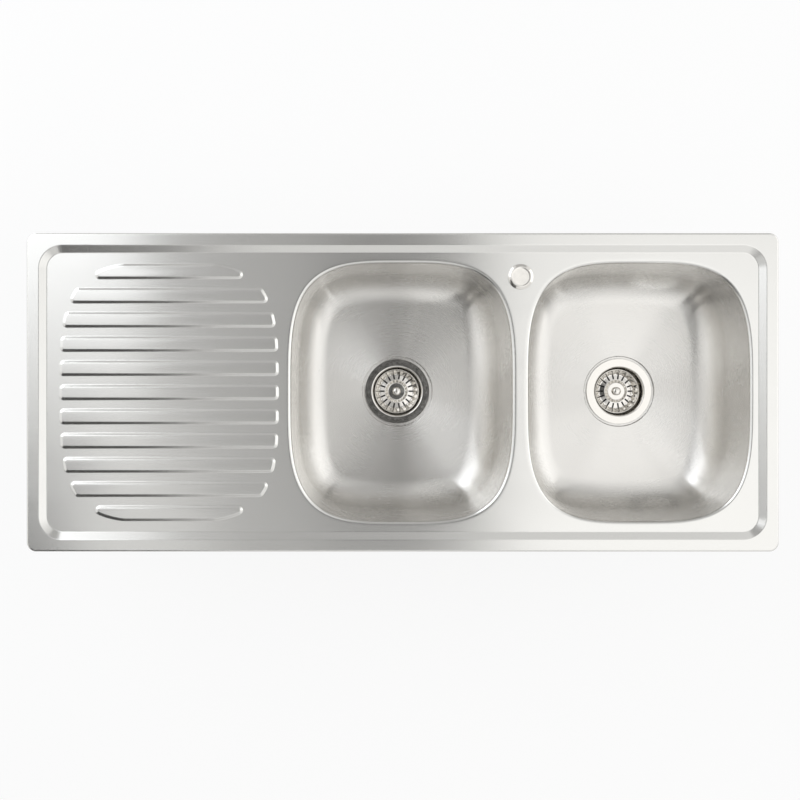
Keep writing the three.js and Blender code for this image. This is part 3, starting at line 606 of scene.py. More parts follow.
@dataclass(frozen=True)
class Surface:
    """A material under construction: its node tree and its Principled shader."""

    tree: Tree
    shader: bpy.types.Node

    def noise(self, size: Point, detail: float = 2.0, place: Socket | None = None) -> Socket:
        """Adds noise whose grains have a real size.

        Args:
            size: The grains' size along X, Y and Z, in millimetres.
            detail: How many finer layers it has.
            place: Where a point lies, in metres; by default along X, Y and Z.

        Returns:
            The noise's value.
        """
        place = place or add_node(self.tree, "ShaderNodeTexCoord").outputs["Object"]
        scale = [1 / (s * MM) for s in size]
        scaled = add_node(self.tree, "ShaderNodeMapping", {"Scale": scale}, {"Vector": place})
        settings = {"Scale": 1.0, "Detail": detail, "Roughness": NOISE_ROUGHNESS}
        return add_node(self.tree, "ShaderNodeTexNoise", settings, {"Vector": scaled.outputs[0]}).outputs[0]

    def mix(self, share: float, first: Socket, second: Socket) -> Socket:
        """Mixes two values; share says how much of the second goes in."""
        return add_node(self.tree, "ShaderNodeMix", {0: share}, {2: first, 3: second}).outputs[0]

    def spread(self, value: Socket, low: float, high: float) -> Socket:
        """Maps the useful middle of a noise's values onto low to high."""
        settings = {"From Min": NOISE_LOW, "From Max": NOISE_HIGH, "To Min": low, "To Max": high}
        return add_node(self.tree, "ShaderNodeMapRange", settings, {"Value": value}).outputs[0]

    def blend(self, share: Socket, low: str, high: str) -> Socket:
        """Mixes two hex colours by a share."""
        settings = {"data_type": "RGBA", 6: linear(low), 7: linear(high)}
        return add_node(self.tree, "ShaderNodeMix", settings, {0: share}).outputs[2]

    def relief(self, height: Socket, depth: float) -> Socket:
        """Turns a height from 0 to 1 into a relief of depth millimetres."""
        settings = {"Strength": 1.0, "Distance": depth * MM}
        return add_node(self.tree, "ShaderNodeBump", settings, {"Height": height}).outputs["Normal"]

    def smear(self, settings: Inputs) -> None:
        """Adds the direction in which the shader smears its reflections."""
        tangent = add_node(self.tree, "ShaderNodeTangent", settings).outputs[0]
        self.tree.links.new(self.shader.inputs["Tangent"], tangent)


class Finish:
    """A surface finish: a name, two colours, a range of roughness and the patterns that spread them."""

    name: str
    light: str
    dark: str
    roughness: tuple[float, float]

    def material(self) -> bpy.types.Material:
        """Makes the material once, and shares it.

        Returns:
            The material.
        """
        known = bpy.data.materials.get(self.name)
        if known:
            return known
        made = bpy.data.materials.new(self.name)
        tree = empty_tree(made)
        shader = add_node(tree, "ShaderNodeBsdfPrincipled")
        add_node(tree, "ShaderNodeOutputMaterial", links={"Surface": shader.outputs["BSDF"]})
        self.dress(Surface(tree, shader))
        return made

    def dress(self, on: Surface) -> None:
        """Gives a surface its patterns and values; each finish has its own."""
        raise NotImplementedError

    def _lay(self, on: Surface, color: Socket, shine: Socket, relief: Socket, values: Inputs) -> None:
        """Spreads the colours and the roughness over a surface and sets its plain values.

        Args:
            on: The surface.
            color: The pattern that mixes the colours.
            shine: The pattern that spreads the roughness.
            relief: The relief.
            values: The shader's plain values, by input.
        """
        for name, value in values.items():
            on.shader.inputs[name].default_value = value
        feeds = {
            "Base Color": on.blend(color, self.dark, self.light),
            "Roughness": on.spread(shine, *self.roughness),
            "Normal": relief,
        }
        for name, socket in feeds.items():
            on.tree.links.new(on.shader.inputs[name], socket)


@dataclass(frozen=True)
class BrushedStainless(Finish):
    """Type 304 stainless sheet with a linear brushed finish along the deck.

    To the eye: a warm neutral grey whose reflections stay crisp along the length and smear across it, with
    fine lengthwise streaks. The real grain is about 0.05 mm wide, too fine to show, so it is drawn at 0.5 mm.
    """

    name: str = "stainless_304_brushed_lengthwise"
    light: str = "#DEDDDA"
    dark: str = "#D4D3CF"
    roughness: tuple[float, float] = (0.20, 0.27)
    grain: Point = (90.0, 0.5, 0.5)
    grain_depth: float = 0.004
    cloud: Point = (180.0, 60.0, 60.0)
    cloud_share: float = 0.4  # of the roughness, the rest follows the grain
    anisotropy: float = 0.8

    def dress(self, on: Surface) -> None:
        """Sets the metal, its grain and the direction of its smear.

        Args:
            on: The surface.
        """
        grain = on.noise(self.grain, detail=3)
        both = on.mix(self.cloud_share, grain, on.noise(self.cloud, detail=1))
        values = {"Metallic": 1, "Anisotropic": self.anisotropy}
        self._lay(on, grain, both, on.relief(grain, self.grain_depth), values)
        on.smear({"direction_type": "UV_MAP", "uv_map": ACROSS_GRAIN})


@dataclass(frozen=True)
class SpunSatinStainless(Finish):
    """Type 304 stainless sheet, deep drawn and then satin finished by a brush that turns about the drain.

    To the eye: soft grey reflections that smear outwards from the drain, so light and dark sectors meet
    there like the blades of a fan, with faint rings. The real rings are 0.05 mm apart, too fine to show,
    so they are drawn 0.7 mm apart.
    """

    name: str = "stainless_304_satin_spun"
    light: str = "#E1DFDB"
    dark: str = "#DCDAD6"
    roughness: tuple[float, float] = (0.26, 0.28)
    ring: float = 0.7
    arc: float = 0.35  # in radians
    ring_depth: float = 0.0004
    cloud: float = 70.0
    cloud_share: float = 0.5
    anisotropy: float = 1.0
    quarter_turn: float = 0.25

    def dress(self, on: Surface) -> None:
        """Sets the metal, its rings and the direction of its smear.

        Args:
            on: The surface.
        """
        grains = (self.arc / MM, self.ring, self.ring)
        rings = on.noise(grains, detail=3, place=self._about_the_drain(on.tree))
        both = on.mix(self.cloud_share, rings, on.noise((self.cloud, self.cloud, self.cloud)))
        values = {"Metallic": 1, "Anisotropic": self.anisotropy, "Anisotropic Rotation": self.quarter_turn}
        self._lay(on, rings, both, on.relief(rings, self.ring_depth), values)
        on.smear({"direction_type": "RADIAL", "axis": "Z"})

    @staticmethod
    def _about_the_drain(tree: Tree) -> Socket:
        """Places a point of either bowl about its own drain; the bowls are alike, so one gives the size.

        Args:
            tree: The tree that the nodes go into.

        Returns:
            The angle about the drain, the distance from it in metres and the height.
        """
        low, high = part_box("left_bowl")
        size = [h - l for l, h in zip(low, high)]
        whole = add_node(tree, "ShaderNodeTexCoord").outputs["Generated"]
        shift = {"Location": [-size[0] / 2, -size[1] / 2, 0], "Scale": size}
        from_middle = add_node(tree, "ShaderNodeMapping", shift, {"Vector": whole})
        place = add_node(tree, "ShaderNodeSeparateXYZ", {}, {0: from_middle.outputs[0]})
        x, y, z = place.outputs
        angle = add_node(tree, "ShaderNodeMath", {"operation": "ARCTAN2"}, {0: y, 1: x}).outputs[0]
        level = add_node(tree, "ShaderNodeCombineXYZ", {}, {0: x, 1: y}).outputs[0]
        reach = add_node(tree, "ShaderNodeVectorMath", {"operation": "LENGTH"}, {0: level}).outputs["Value"]
        return add_node(tree, "ShaderNodeCombineXYZ", {}, {0: angle, 1: reach, 2: z}).outputs[0]


@dataclass(frozen=True)
class PolishedStainless(Finish):
    """Type 304 stainless, pressed and polished on a lathe.

    To the eye: bright, nearly mirror reflections with a faint fuzz from the polish.
    """

    name: str = "stainless_304_polished"
    light: str = "#DEDBD6"
    dark: str = "#D8D5CF"
    roughness: tuple[float, float] = (0.10, 0.17)
    cloud: float = 6.0
    fuzz: float = 0.5
    fuzz_depth: float = 0.002

    def dress(self, on: Surface) -> None:
        """Sets the metal and its faint unevenness.

        Args:
            on: The surface.
        """
        cloud = on.noise((self.cloud, self.cloud, self.cloud), detail=3)
        fuzz = on.noise((self.fuzz, self.fuzz, self.fuzz))
        self._lay(on, cloud, cloud, on.relief(fuzz, self.fuzz_depth), {"Metallic": 1})


@dataclass(frozen=True)
class ZincPlate(Finish):
    """Mild steel, stamped and bright zinc plated.

    To the eye: a cool light grey with a patchy bluish bloom and a fine grainy shine.
    """

    name: str = "mild_steel_zinc_plated"
    light: str = "#C6CACA"
    dark: str = "#AEB2B1"
    roughness: tuple[float, float] = (0.32, 0.5)
    bloom: float = 5.0
    grain: float = 0.4
    grain_depth: float = 0.01

    def dress(self, on: Surface) -> None:
        """Sets the plating, its bloom and its grain.

        Args:
            on: The surface.
        """
        bloom = on.noise((self.bloom, self.bloom, self.bloom), detail=3)
        grain = on.noise((self.grain, self.grain, self.grain))
        self._lay(on, bloom, bloom, on.relief(grain, self.grain_depth), {"Metallic": 1})


@dataclass(frozen=True)
class MouldedPlastic(Finish):
    """Injection moulded plastic with a lightly spark-eroded surface.

    To the eye: an even colour with a soft sheen broken by a fine stipple.
    """

    name: str
    light: str
    dark: str
    roughness: tuple[float, float] = (0.38, 0.5)
    cloud: float = 20.0
    stipple: float = 0.5
    stipple_depth: float = 0.02
    ior: float = 1.49

    def dress(self, on: Surface) -> None:
        """Sets the colour and the stipple.

        Args:
            on: The surface.
        """
        stipple = on.noise((self.stipple, self.stipple, self.stipple))
        cloud = on.noise((self.cloud, self.cloud, self.cloud))
        self._lay(on, cloud, stipple, on.relief(stipple, self.stipple_depth), {"IOR": self.ior})


@dataclass(frozen=True)
class SoftSheet(Finish):
    """A soft black or grey sheet, such as rubber, foam or bitumen, with pores or crumbs of a known size.

    To the eye: dull, with a grain that catches a little light.
    """

    name: str
    light: str
    dark: str
    grain: float
    grain_depth: float
    roughness: tuple[float, float] = (0.75, 0.92)
    ior: float = 1.52

    def dress(self, on: Surface) -> None:
        """Sets the colour and the grain.

        Args:
            on: The surface.
        """
        grain = on.noise((self.grain, self.grain, self.grain), detail=3)
        self._lay(on, grain, grain, on.relief(grain, self.grain_depth), {"IOR": self.ior})


BRUSHED = BrushedStainless()
SPUN_SATIN = SpunSatinStainless()
POLISHED = PolishedStainless()
ZINC = ZincPlate()
BLACK_PLASTIC = MouldedPlastic("polypropylene_black_moulded", "#2B2C2D", "#232425")
NYLON = MouldedPlastic("nylon_natural_moulded", "#E4E2DA", "#D8D6CD")
RUBBER = SoftSheet("nitrile_rubber_black_moulded", "#262625", "#1B1B1A", 0.8, 0.02, (0.5, 0.65))
FOAM = SoftSheet("polyethylene_foam_grey_cut", "#5A5B5C", "#3F4041", 1.2, 0.15)
BITUMEN = SoftSheet("bitumen_felt_black_pressed", "#343231", "#232221", 2.5, 0.25)


# ---- The sink ----


BOWL_MOUTH = Superellipse(173.5, 202.5, 3.6)


@dataclass
class Deck:
    """The pressed sheet: a raised border, a step down, a flat field, the drainer and the bowls' lips."""

    sheet: float = STEEL_SHEET
    outline_corner: float = 15.0
    edge_radius: float = 3.0
    border: float = 18.0
    step_run: float = 13.5
    step_drop: float = 5.5
    step_radius: float = 4.0
    step_corner: float = 38.0
    lip_lead: float = 3.0
    lip_dip_degrees: float = 2.0
    lip_radius: float = 6.0
    edge_steps: int = 6
    lead_steps: int = 6
    roll_steps: int = 10
    tap_hole_radius: float = 17.5
    flat: float = 0.4
    rib_count: int = 11
    rib_pitch: float = 38.0
    rib_width: float = 26.0
    rib_height: float = 2.5
    rib_slope: float = 5.6
    rib_fillet: float = 2.8
    rib_corner: float = 8.0
    drainer: Superellipse = Superellipse(173, 205.4, 3.7)
    drainer_x: float = -367.0
    mouth: Superellipse = BOWL_MOUTH
    draft_degrees: float = DRAFT_DEGREES

    @property
    def level(self) -> float:
        """The height of the flat field."""
        return top("deck") - self.step_drop

    def _outline(self, inset: float, z: float) -> Loop:
        """Draws a loop of the border, whose corners widen at the step.

        Args:
            inset: How far it lies inside the deck's outline.
            z: Its height.

        Returns:
            The loop.
        """
        half_x, half_y = half_size("deck")
        in_step = inset > (self.edge_radius + self.border) / 2
        corner = self.step_corner - (inset - self.border) if in_step else self.outline_corner - inset
        return rounded_rectangle(half_x - inset, half_y - inset, corner, z)

    def _border(self) -> list[Loop]:
        """Draws the border and the step.

        Returns:
            The loops from the skirt's lower edge to the edge of the field.
        """
        crown = top("deck")
        loops = [self._outline(0, foot("deck"))]
        for angle in spaced(0, math.pi / 2, self.edge_steps):
            inset = self.edge_radius * (1 - math.cos(angle))
            loops.append(self._outline(inset, crown - self.edge_radius * (1 - math.sin(angle))))
        loops.append(self._outline(self.edge_radius + self.flat, crown))
        loops.append(self._outline(self.border - self.flat, crown))
        for across, height in s_bend(self.step_run, self.step_drop, self.step_radius):
            loops.append(self._outline(self.border + across, crown + height))
        loops.append(self._outline(self.border + self.step_run + self.flat, self.level))
        return loops

    def _lip(self, x: float) -> list[Loop]:
        """Draws a bowl's lip: the field dips a little, then rolls down to the weld.

        Args:
            x: The middle of the bowl.

        Returns:
            The loops from the field to the weld.
        """
        dip, end = math.radians(self.lip_dip_degrees), math.radians(90 - self.draft_degrees)
        roll = self.lip_radius * (math.sin(end) - math.sin(dip))
        drop = self.lip_lead * math.tan(dip) / 2
        loops = [self.mouth.offset(-self.flat - self.lip_lead - roll, self.level, x)]
        for share in spaced(0, 1, self.lead_steps):
            inset = -self.lip_lead * (1 - share) - roll
            loops.append(self.mouth.offset(inset, self.level - drop * share**2, x))
        for angle in spaced(dip, end, self.roll_steps)[1:]:
            inset = self.lip_radius * (math.sin(angle) - math.sin(end))
            z = self.level - drop - self.lip_radius * (math.cos(dip) - math.cos(angle))
            loops.append(self.mouth.offset(inset, z, x))
        loops.append(self.mouth.offset(0, top("left_bowl"), x))
        return loops

    def _rib_end(self, index: int, steps: int = 12) -> Corners:
        """Finds the points that the outline of a rib's right-hand end keeps one distance from.

        Args:
            index: The rib, counted from the front.
            steps: Segments along the end and in each corner.

        Returns:
            The points (x, y), each with the angle that the outline lies at from there.
        """
        middle = (index - (self.rib_count - 1) / 2) * self.rib_pitch
        half = self.rib_width / 2 - self.rib_corner
        reach_x = self.drainer.half_length - self.rib_corner
        reach_y = self.drainer.half_width - self.rib_corner
        core = Superellipse(reach_x, reach_y, self.drainer.squareness)
        edge: Corners = []
        for y in spaced(middle - half, middle + half, steps):
            normal = core.normal(core.reach(y), y)
            edge.append((core.reach(y), y, math.atan2(normal.y, normal.x)))
        (x0, y0, first), (x1, y1, last) = edge[0], edge[-1]
        under = [(x0, y0, a) for a in spaced(-math.pi / 2, first, steps)[:-1]]
        over = [(x1, y1, a) for a in spaced(last, math.pi / 2, steps)[1:]]
        return under + edge + over

    def _rib_loop(self, index: int, inset: float, z: float) -> Loop:
        """Draws one rib's outline.

        Args:
            index: The rib, counted from the front.
            inset: How far the outline is taken in.
            z: Its height.

        Returns:
            The loop.
        """
        distance = self.rib_corner - inset
        end = [(x + distance * math.cos(a), y + distance * math.sin(a)) for x, y, a in self._rib_end(index)]
        right = [(self.drainer_x + x, y, z) for x, y in end]
        left = [(self.drainer_x - x, y, z) for x, y in reversed(end)]
        return right + left

    def _rib(self, index: int) -> list[Loop]:
        """Draws one rib.

        Args:
            index: The rib, counted from the front.

        Returns:
            The loops from the field to the rib's flat top.
        """
        crown = self.level + self.rib_height
        bend = s_bend(self.rib_slope, self.rib_height, self.rib_fillet)
        loops = [self._rib_loop(index, -self.flat, self.level)]
        for across, fall in reversed(bend):
            loops.append(self._rib_loop(index, self.rib_slope - across, crown + fall))
        return loops

    def build(self) -> None:
        """Builds and dresses the deck."""
        shell = Shell()
        field_edge = shell.loft(self._border())[-1]
        holes = []
        for side in ("left", "right"):
            holes.append(shell.loft(self._lip(centre(f"{side}_bowl").x))[0])
        tap = centre("tap_hole_cap")
        radii = (self.tap_hole_radius + self.flat, self.tap_hole_radius)
        holes.append(shell.loft([circle(r, self.level, Segments.RING, tap.x, tap.y) for r in radii])[0])
        for index in range(self.rib_count):
            rings = shell.loft(self._rib(index))
            holes.append(rings[0])
            shell.mesh.faces.new(rings[-1])
        shell.fill(field_edge, *holes)
        Piece("deck", "sink", BRUSHED, "satin_steel", Facing.UP, sheet=self.sheet).write(shell)


@dataclass
class Bowl:
    """A drawn bowl, welded to its lip, with a recess for the strainer in its floor."""

    side: str
    sheet: float = STEEL_SHEET
    mouth: Superellipse = BOWL_MOUTH
    draft_degrees: float = DRAFT_DEGREES
    floor_radius: float = 50.0
    floor_fall: float = 1.5
    recess_radius: float = 58.0
    recess_slope: float = 2.0
    recess_depth: float = 2.5
    recess_fillet: float = 0.9
    hole_radius: float = 45.0
    flat: float = 1.0
    wall_steps: int = 8
    corner_steps: int = 24
    floor_steps: int = 10
    recess_steps: int = 4
    pad: float = 2.5
    pad_outer: float = 0.12  # of the way from the floor's edge to the recess
    pad_inner: float = 0.9
    pad_soft: float = 0.01

    def __post_init__(self) -> None:
        """Works out the levels from the frame."""
        node = f"{self.side}_bowl"
        self.x = centre(node).x
        self.rim = top(node)
        self.recess_level = foot(node) + self.sheet
        self.floor_level = self.recess_level + self.recess_depth
        self.floor_edge = self.floor_level + self.floor_fall
        draft = math.radians(self.draft_degrees)
        self.wall_foot = self.floor_edge + self.floor_radius * (1 - math.sin(draft))
        self.wall_inset = (self.rim - self.wall_foot) * math.tan(draft)
        self.floor_inset = self.wall_inset + self.floor_radius * math.cos(draft)

    def _walls(self) -> list[Loop]:
        """Draws the wall and the corner below it.

        Returns:
            The loops from the weld to the edge of the floor.
        """
        loops = []
        for t in spaced(0, 1, self.wall_steps):
            loops.append(self.mouth.offset(self.wall_inset * t, lerp(self.rim, self.wall_foot, t), self.x))
        draft = math.radians(self.draft_degrees)
        for angle in spaced(draft, math.pi / 2, self.corner_steps)[1:]:
            inset = self.floor_inset - self.floor_radius * math.cos(angle)
            z = self.floor_edge + self.floor_radius * (1 - math.sin(angle))
            loops.append(self.mouth.offset(inset, z, self.x))
        return loops

    def _floor(self, edge: Loop) -> list[Loop]:
        """Draws the floor and the recess for the strainer.

        Args:
            edge: The floor's edge.

        Returns:
            The loops from inside that edge to the drain hole.
        """
        mouth_radius = self.recess_radius + self.recess_slope
        count = self.mouth.count
        near = circle(mouth_radius + self.flat, self.floor_level, count, self.x)
        loops = [between(edge, near, share) for share in spaced(0, 1, self.floor_steps)[1:]]
        bend = s_bend(self.recess_slope, self.recess_depth, self.recess_fillet, self.recess_steps)
        for across, height in bend:
            loops.append(circle(mouth_radius - across, self.floor_level + height, count, self.x))
        for radius in (self.recess_radius - self.flat, self.hole_radius):
            loops.append(circle(radius, self.recess_level, count, self.x))
        return loops

    def build(self) -> None:
        """Builds and dresses the bowl and its damping pad."""
        shell = Shell()
        walls = self._walls()
        shell.loft(walls + self._floor(walls[-1]))
        Piece(f"{self.side}_bowl", "sink", SPUN_SATIN, "bowl_steel", Facing.UP, sheet=self.sheet).write(shell)
        self._pad()

    def _pad(self) -> None:
        """Builds the damping pad under the floor, between its outer and its inner edge."""
        level = top(f"{self.side}_sound_pad") + self.floor_fall * self.pad_outer
        edge = self.mouth.offset(self.floor_inset, level, self.x)
        reach = self.recess_radius + self.recess_slope + self.sheet
        near = circle(reach, level - self.floor_fall, self.mouth.count, self.x)
        soft, outer, inner = self.pad_outer + self.pad_soft, self.pad_outer, self.pad_inner
        section = ((soft, 0), (inner, 0), (inner, 1), (soft, 1), (outer, 0.75), (outer, 0.25))
        loops = []
        for share, depth in section:
            loops.append([(x, y, z - self.pad * depth) for x, y, z in between(edge, near, share)])
        shell = Shell()
        shell.loft(loops, wraps=True)
        Piece(f"{self.side}_sound_pad", "sink", BITUMEN, "sound_deadening").write(shell)


@dataclass
class DrainFitting:
    """A set of pieces that stand on the upright axis of one bowl's drain."""

    side: str

    def __post_init__(self) -> None:
        """Works out the places from the frame."""
        self.body = "sink"
        self.x = centre(f"{self.side}_bowl").x
        self.flange_top = top(f"{self.side}_strainer_cup")

    def depth(self, below: float) -> float:
        """Returns the height that lies this far below the strainer's flange."""
        return self.flange_top - below

    def levels(self, name: str) -> tuple[float, float, float]:
        """Returns a piece's lowest height, its highest and its radius, from its box."""
        node = f"{self.side}_{name}"
        return foot(node), top(node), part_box(node)[1][0] / MM - self.x

    def write(self, name: str, shell: Shell, finish: Finish, slot: str, **look: object) -> None:
        """Moves a shell over the drain and writes it.

        Args:
            name: The node's name without the side.
            shell: The shell, about the upright axis.
            finish: Its finish.
            slot: The name of a slot for the finish; the piece keeps it, but nothing here uses it.
            look: Anything else that Piece takes.
        """
        shell.move(self.x, 0)
        Piece(f"{self.side}_{name}", self.body, finish, slot, **look).write(shell)


@dataclass
class Waste(DrainFitting):
    """A strainer's fixed pieces: the flanged cup, its gaskets, the body under the bowl and its screw."""

    sheet: float = STEEL_SHEET
    flange_radius: float = 55.0
    cup_radius: float = 40.5
    lip_radius: float = 6.5
    ledge_depth: float = 32.0
    ledge_radius: float = 32.0
    ledge_fall: float = 3.0
    cup_depth: float = 44.0
    hole_count: int = 6
    hole_radius: float = 6.0
    hole_circle: float = 19.0
    flange_edge: Offsets = ((0.0, 0.2), (0.4, 0.0), (0.7, 0.0))  # inwards and down from its corner
    body_wall: float = 3.0
    body_bore: float = 42.8
    body_flange: float = 3.0
    body_depth: float = 50.0
    cone_height: float = 16.0
    outlet_radius: float = 23.9
    outlet_bore: float = 19.5
    outlet_pitch: float = 2.31
    outlet_thread: float = 1.2
    outlet_collar: float = 2.0  # below the cone, where it is plain
    collar_end: float = 2.4  # below the cone, where its chamfer meets the thread
    boss_radius: float = 8.0
    boss_length: float = 10.0
    web: float = 3.0
    screw_radius: float = 3.0
    screw_head: float = 7.0
    screw_pitch: float = 1.0
    screw_thread: float = 0.55
    screw_point: float = 0.8
    point_share: float = 0.6  # of the core's radius
    thread_ends: tuple[float, float] = (0.6, 1.0)  # kept clear at the point and at the head
    coin_slot: tuple[float, float, float] = (4.2, 0.7, 1.3)  # half length, half width, depth

    def _cup(self) -> None:
        """Builds the cup: its flange rolls down into it, and its bottom is drilled."""
        bottom = self.depth(self.cup_depth)
        ledge = self.depth(self.ledge_depth)
        path = rounded([
            *((self.flange_radius - inward, self.flange_top - down, 0) for inward, down in self.flange_edge),
            (self.cup_radius + self.lip_radius + FIT, self.flange_top, 0),
            (self.cup_radius, self.flange_top, self.lip_radius - 0.2),
            (self.cup_radius, ledge, 2),
            (self.ledge_radius, ledge - self.ledge_fall, 2),
            (self.ledge_radius, bottom, 2.5),
            (self.hole_circle + self.hole_radius + 1, bottom, 0),
        ], closed=False, steps=8)
        shell = Shell()
        edge = shell.loft([circle(radius, z, Segments.FLANGE) for radius, z in path])[-1]
        holes = [shell.ring(circle(self.screw_radius + FIT, bottom, Segments.BORE))]
        for angle in spaced(0, TURN, self.hole_count)[:-1]:
            x, y = self.hole_circle * math.cos(angle), self.hole_circle * math.sin(angle)
            holes.append(shell.ring(circle(self.hole_radius, bottom, Segments.NUT, x, y)))
        shell.fill(edge, *holes)
        self.write("strainer_cup", shell, POLISHED, "polished_steel", facing=Facing.UP, sheet=self.sheet)

    def _gasket(self, name: str) -> None:
        """Builds one of the flat gaskets.

        Args:
            name: Its node's name without the side.
        """
        low, high, outer = self.levels(name)
        inner = self.cup_radius + self.lip_radius
        shell = Shell()
        outline = [(inner, low, 0.2), (outer, low, 0.4), (outer, high, 0.4), (inner, high, 0.2)]
        shell.turn(rounded(outline), Segments.FLANGE, wraps=True)
        self.write(name, shell, RUBBER, "rubber")

    def _body(self) -> None:
        """Builds the body: a flange, a cup, webs that carry the screw's boss, and the threaded outlet."""
        end, crown, rim = self.levels("waste_body")
        shoulder = self.depth(self.body_depth)
        throat = shoulder - self.cone_height
        thread_top = throat - self.collar_end
        outer, core = self.body_bore + self.body_wall, self.outlet_radius - self.outlet_thread
        shell = Shell()
        shell.turn(rounded([
            (self.body_bore, crown, 0.5),
            (rim, crown, 0.6),
            (rim, crown - self.body_flange, 0.6),
            (outer, crown - self.body_flange, 1.5),
            (outer, shoulder, 5),
            (self.outlet_radius, throat, 2),
            (self.outlet_radius, throat - self.outlet_collar, 0.4),
            (core, thread_top, 0),
            (core, end, 0.5),
            (self.outlet_bore, end, 0.5),
            (self.outlet_bore, throat, 2),
            (self.body_bore, shoulder, 4),
        ]), Segments.CUP, wraps=True)
        shell.thread(core, self.outlet_radius, self.outlet_pitch, end, thread_top, Segments.RING)
        boss_top = self.depth(self.cup_depth + self.sheet + FIT)
        boss_foot = boss_top - self.boss_length
        hole = self.screw_radius + FIT
        shell.turn(rounded([
            (hole, boss_foot, 0),
            (self.boss_radius, boss_foot, 0.8),
            (self.boss_radius, boss_top, 0.8),
            (hole, boss_top, 0),
        ]), Segments.STEM, wraps=True)
        reach = self.body_bore + self.body_wall / 2
        slope = lerp(reach, self.outlet_bore, (shoulder - boss_foot) / self.cone_height)
        web_top = shoulder + self.web
        arm = [(hole, boss_foot), (slope, boss_foot), (reach, shoulder), (reach, web_top), (hole, web_top)]
        for quarter in range(4):
            shell.strip(arm, self.web, quarter * math.pi / 2)
        self.write("waste_body", shell, BLACK_PLASTIC, "waste_plastic", bevel=0.3)

    def _screw(self) -> None:
        """Builds the screw that draws the body up to the cup, with a slot for a coin in its head."""
        end, crown, _ = self.levels("waste_screw")
        seat = self.depth(self.cup_depth) + FIT
        core = self.screw_radius - self.screw_thread
        shell = Shell()
        profile = rounded([
            (core * self.point_share, end, 0),
            (core, end + self.screw_point, 0.3),
            (core, seat, 0.2),
            (self.screw_head, seat, 0.3),
            (self.screw_head, crown, 1.5),
            (self.screw_head - 2, crown, 0),
        ], closed=False)
        rings = shell.loft([circle(radius, z, Segments.STEM) for radius, z in profile])
        shell.mesh.faces.new(rings[0])
        length, width, depth = self.coin_slot
        corners = ((length, -width), (length, width), (-length, width), (-length, -width))
        shell.socket(rings[-1], [(x, y, crown) for x, y in corners], depth)
        low, high = self.thread_ends
        shell.thread(core, self.screw_radius, self.screw_pitch, end + low, seat - high)
        self.write("waste_screw", shell, POLISHED, "polished_steel")

    def build(self) -> None:
        """Builds and dresses the waste."""
        self._cup()
        self._gasket("cup_gasket")
        self._gasket("lower_gasket")
        self._body()
        self._screw()


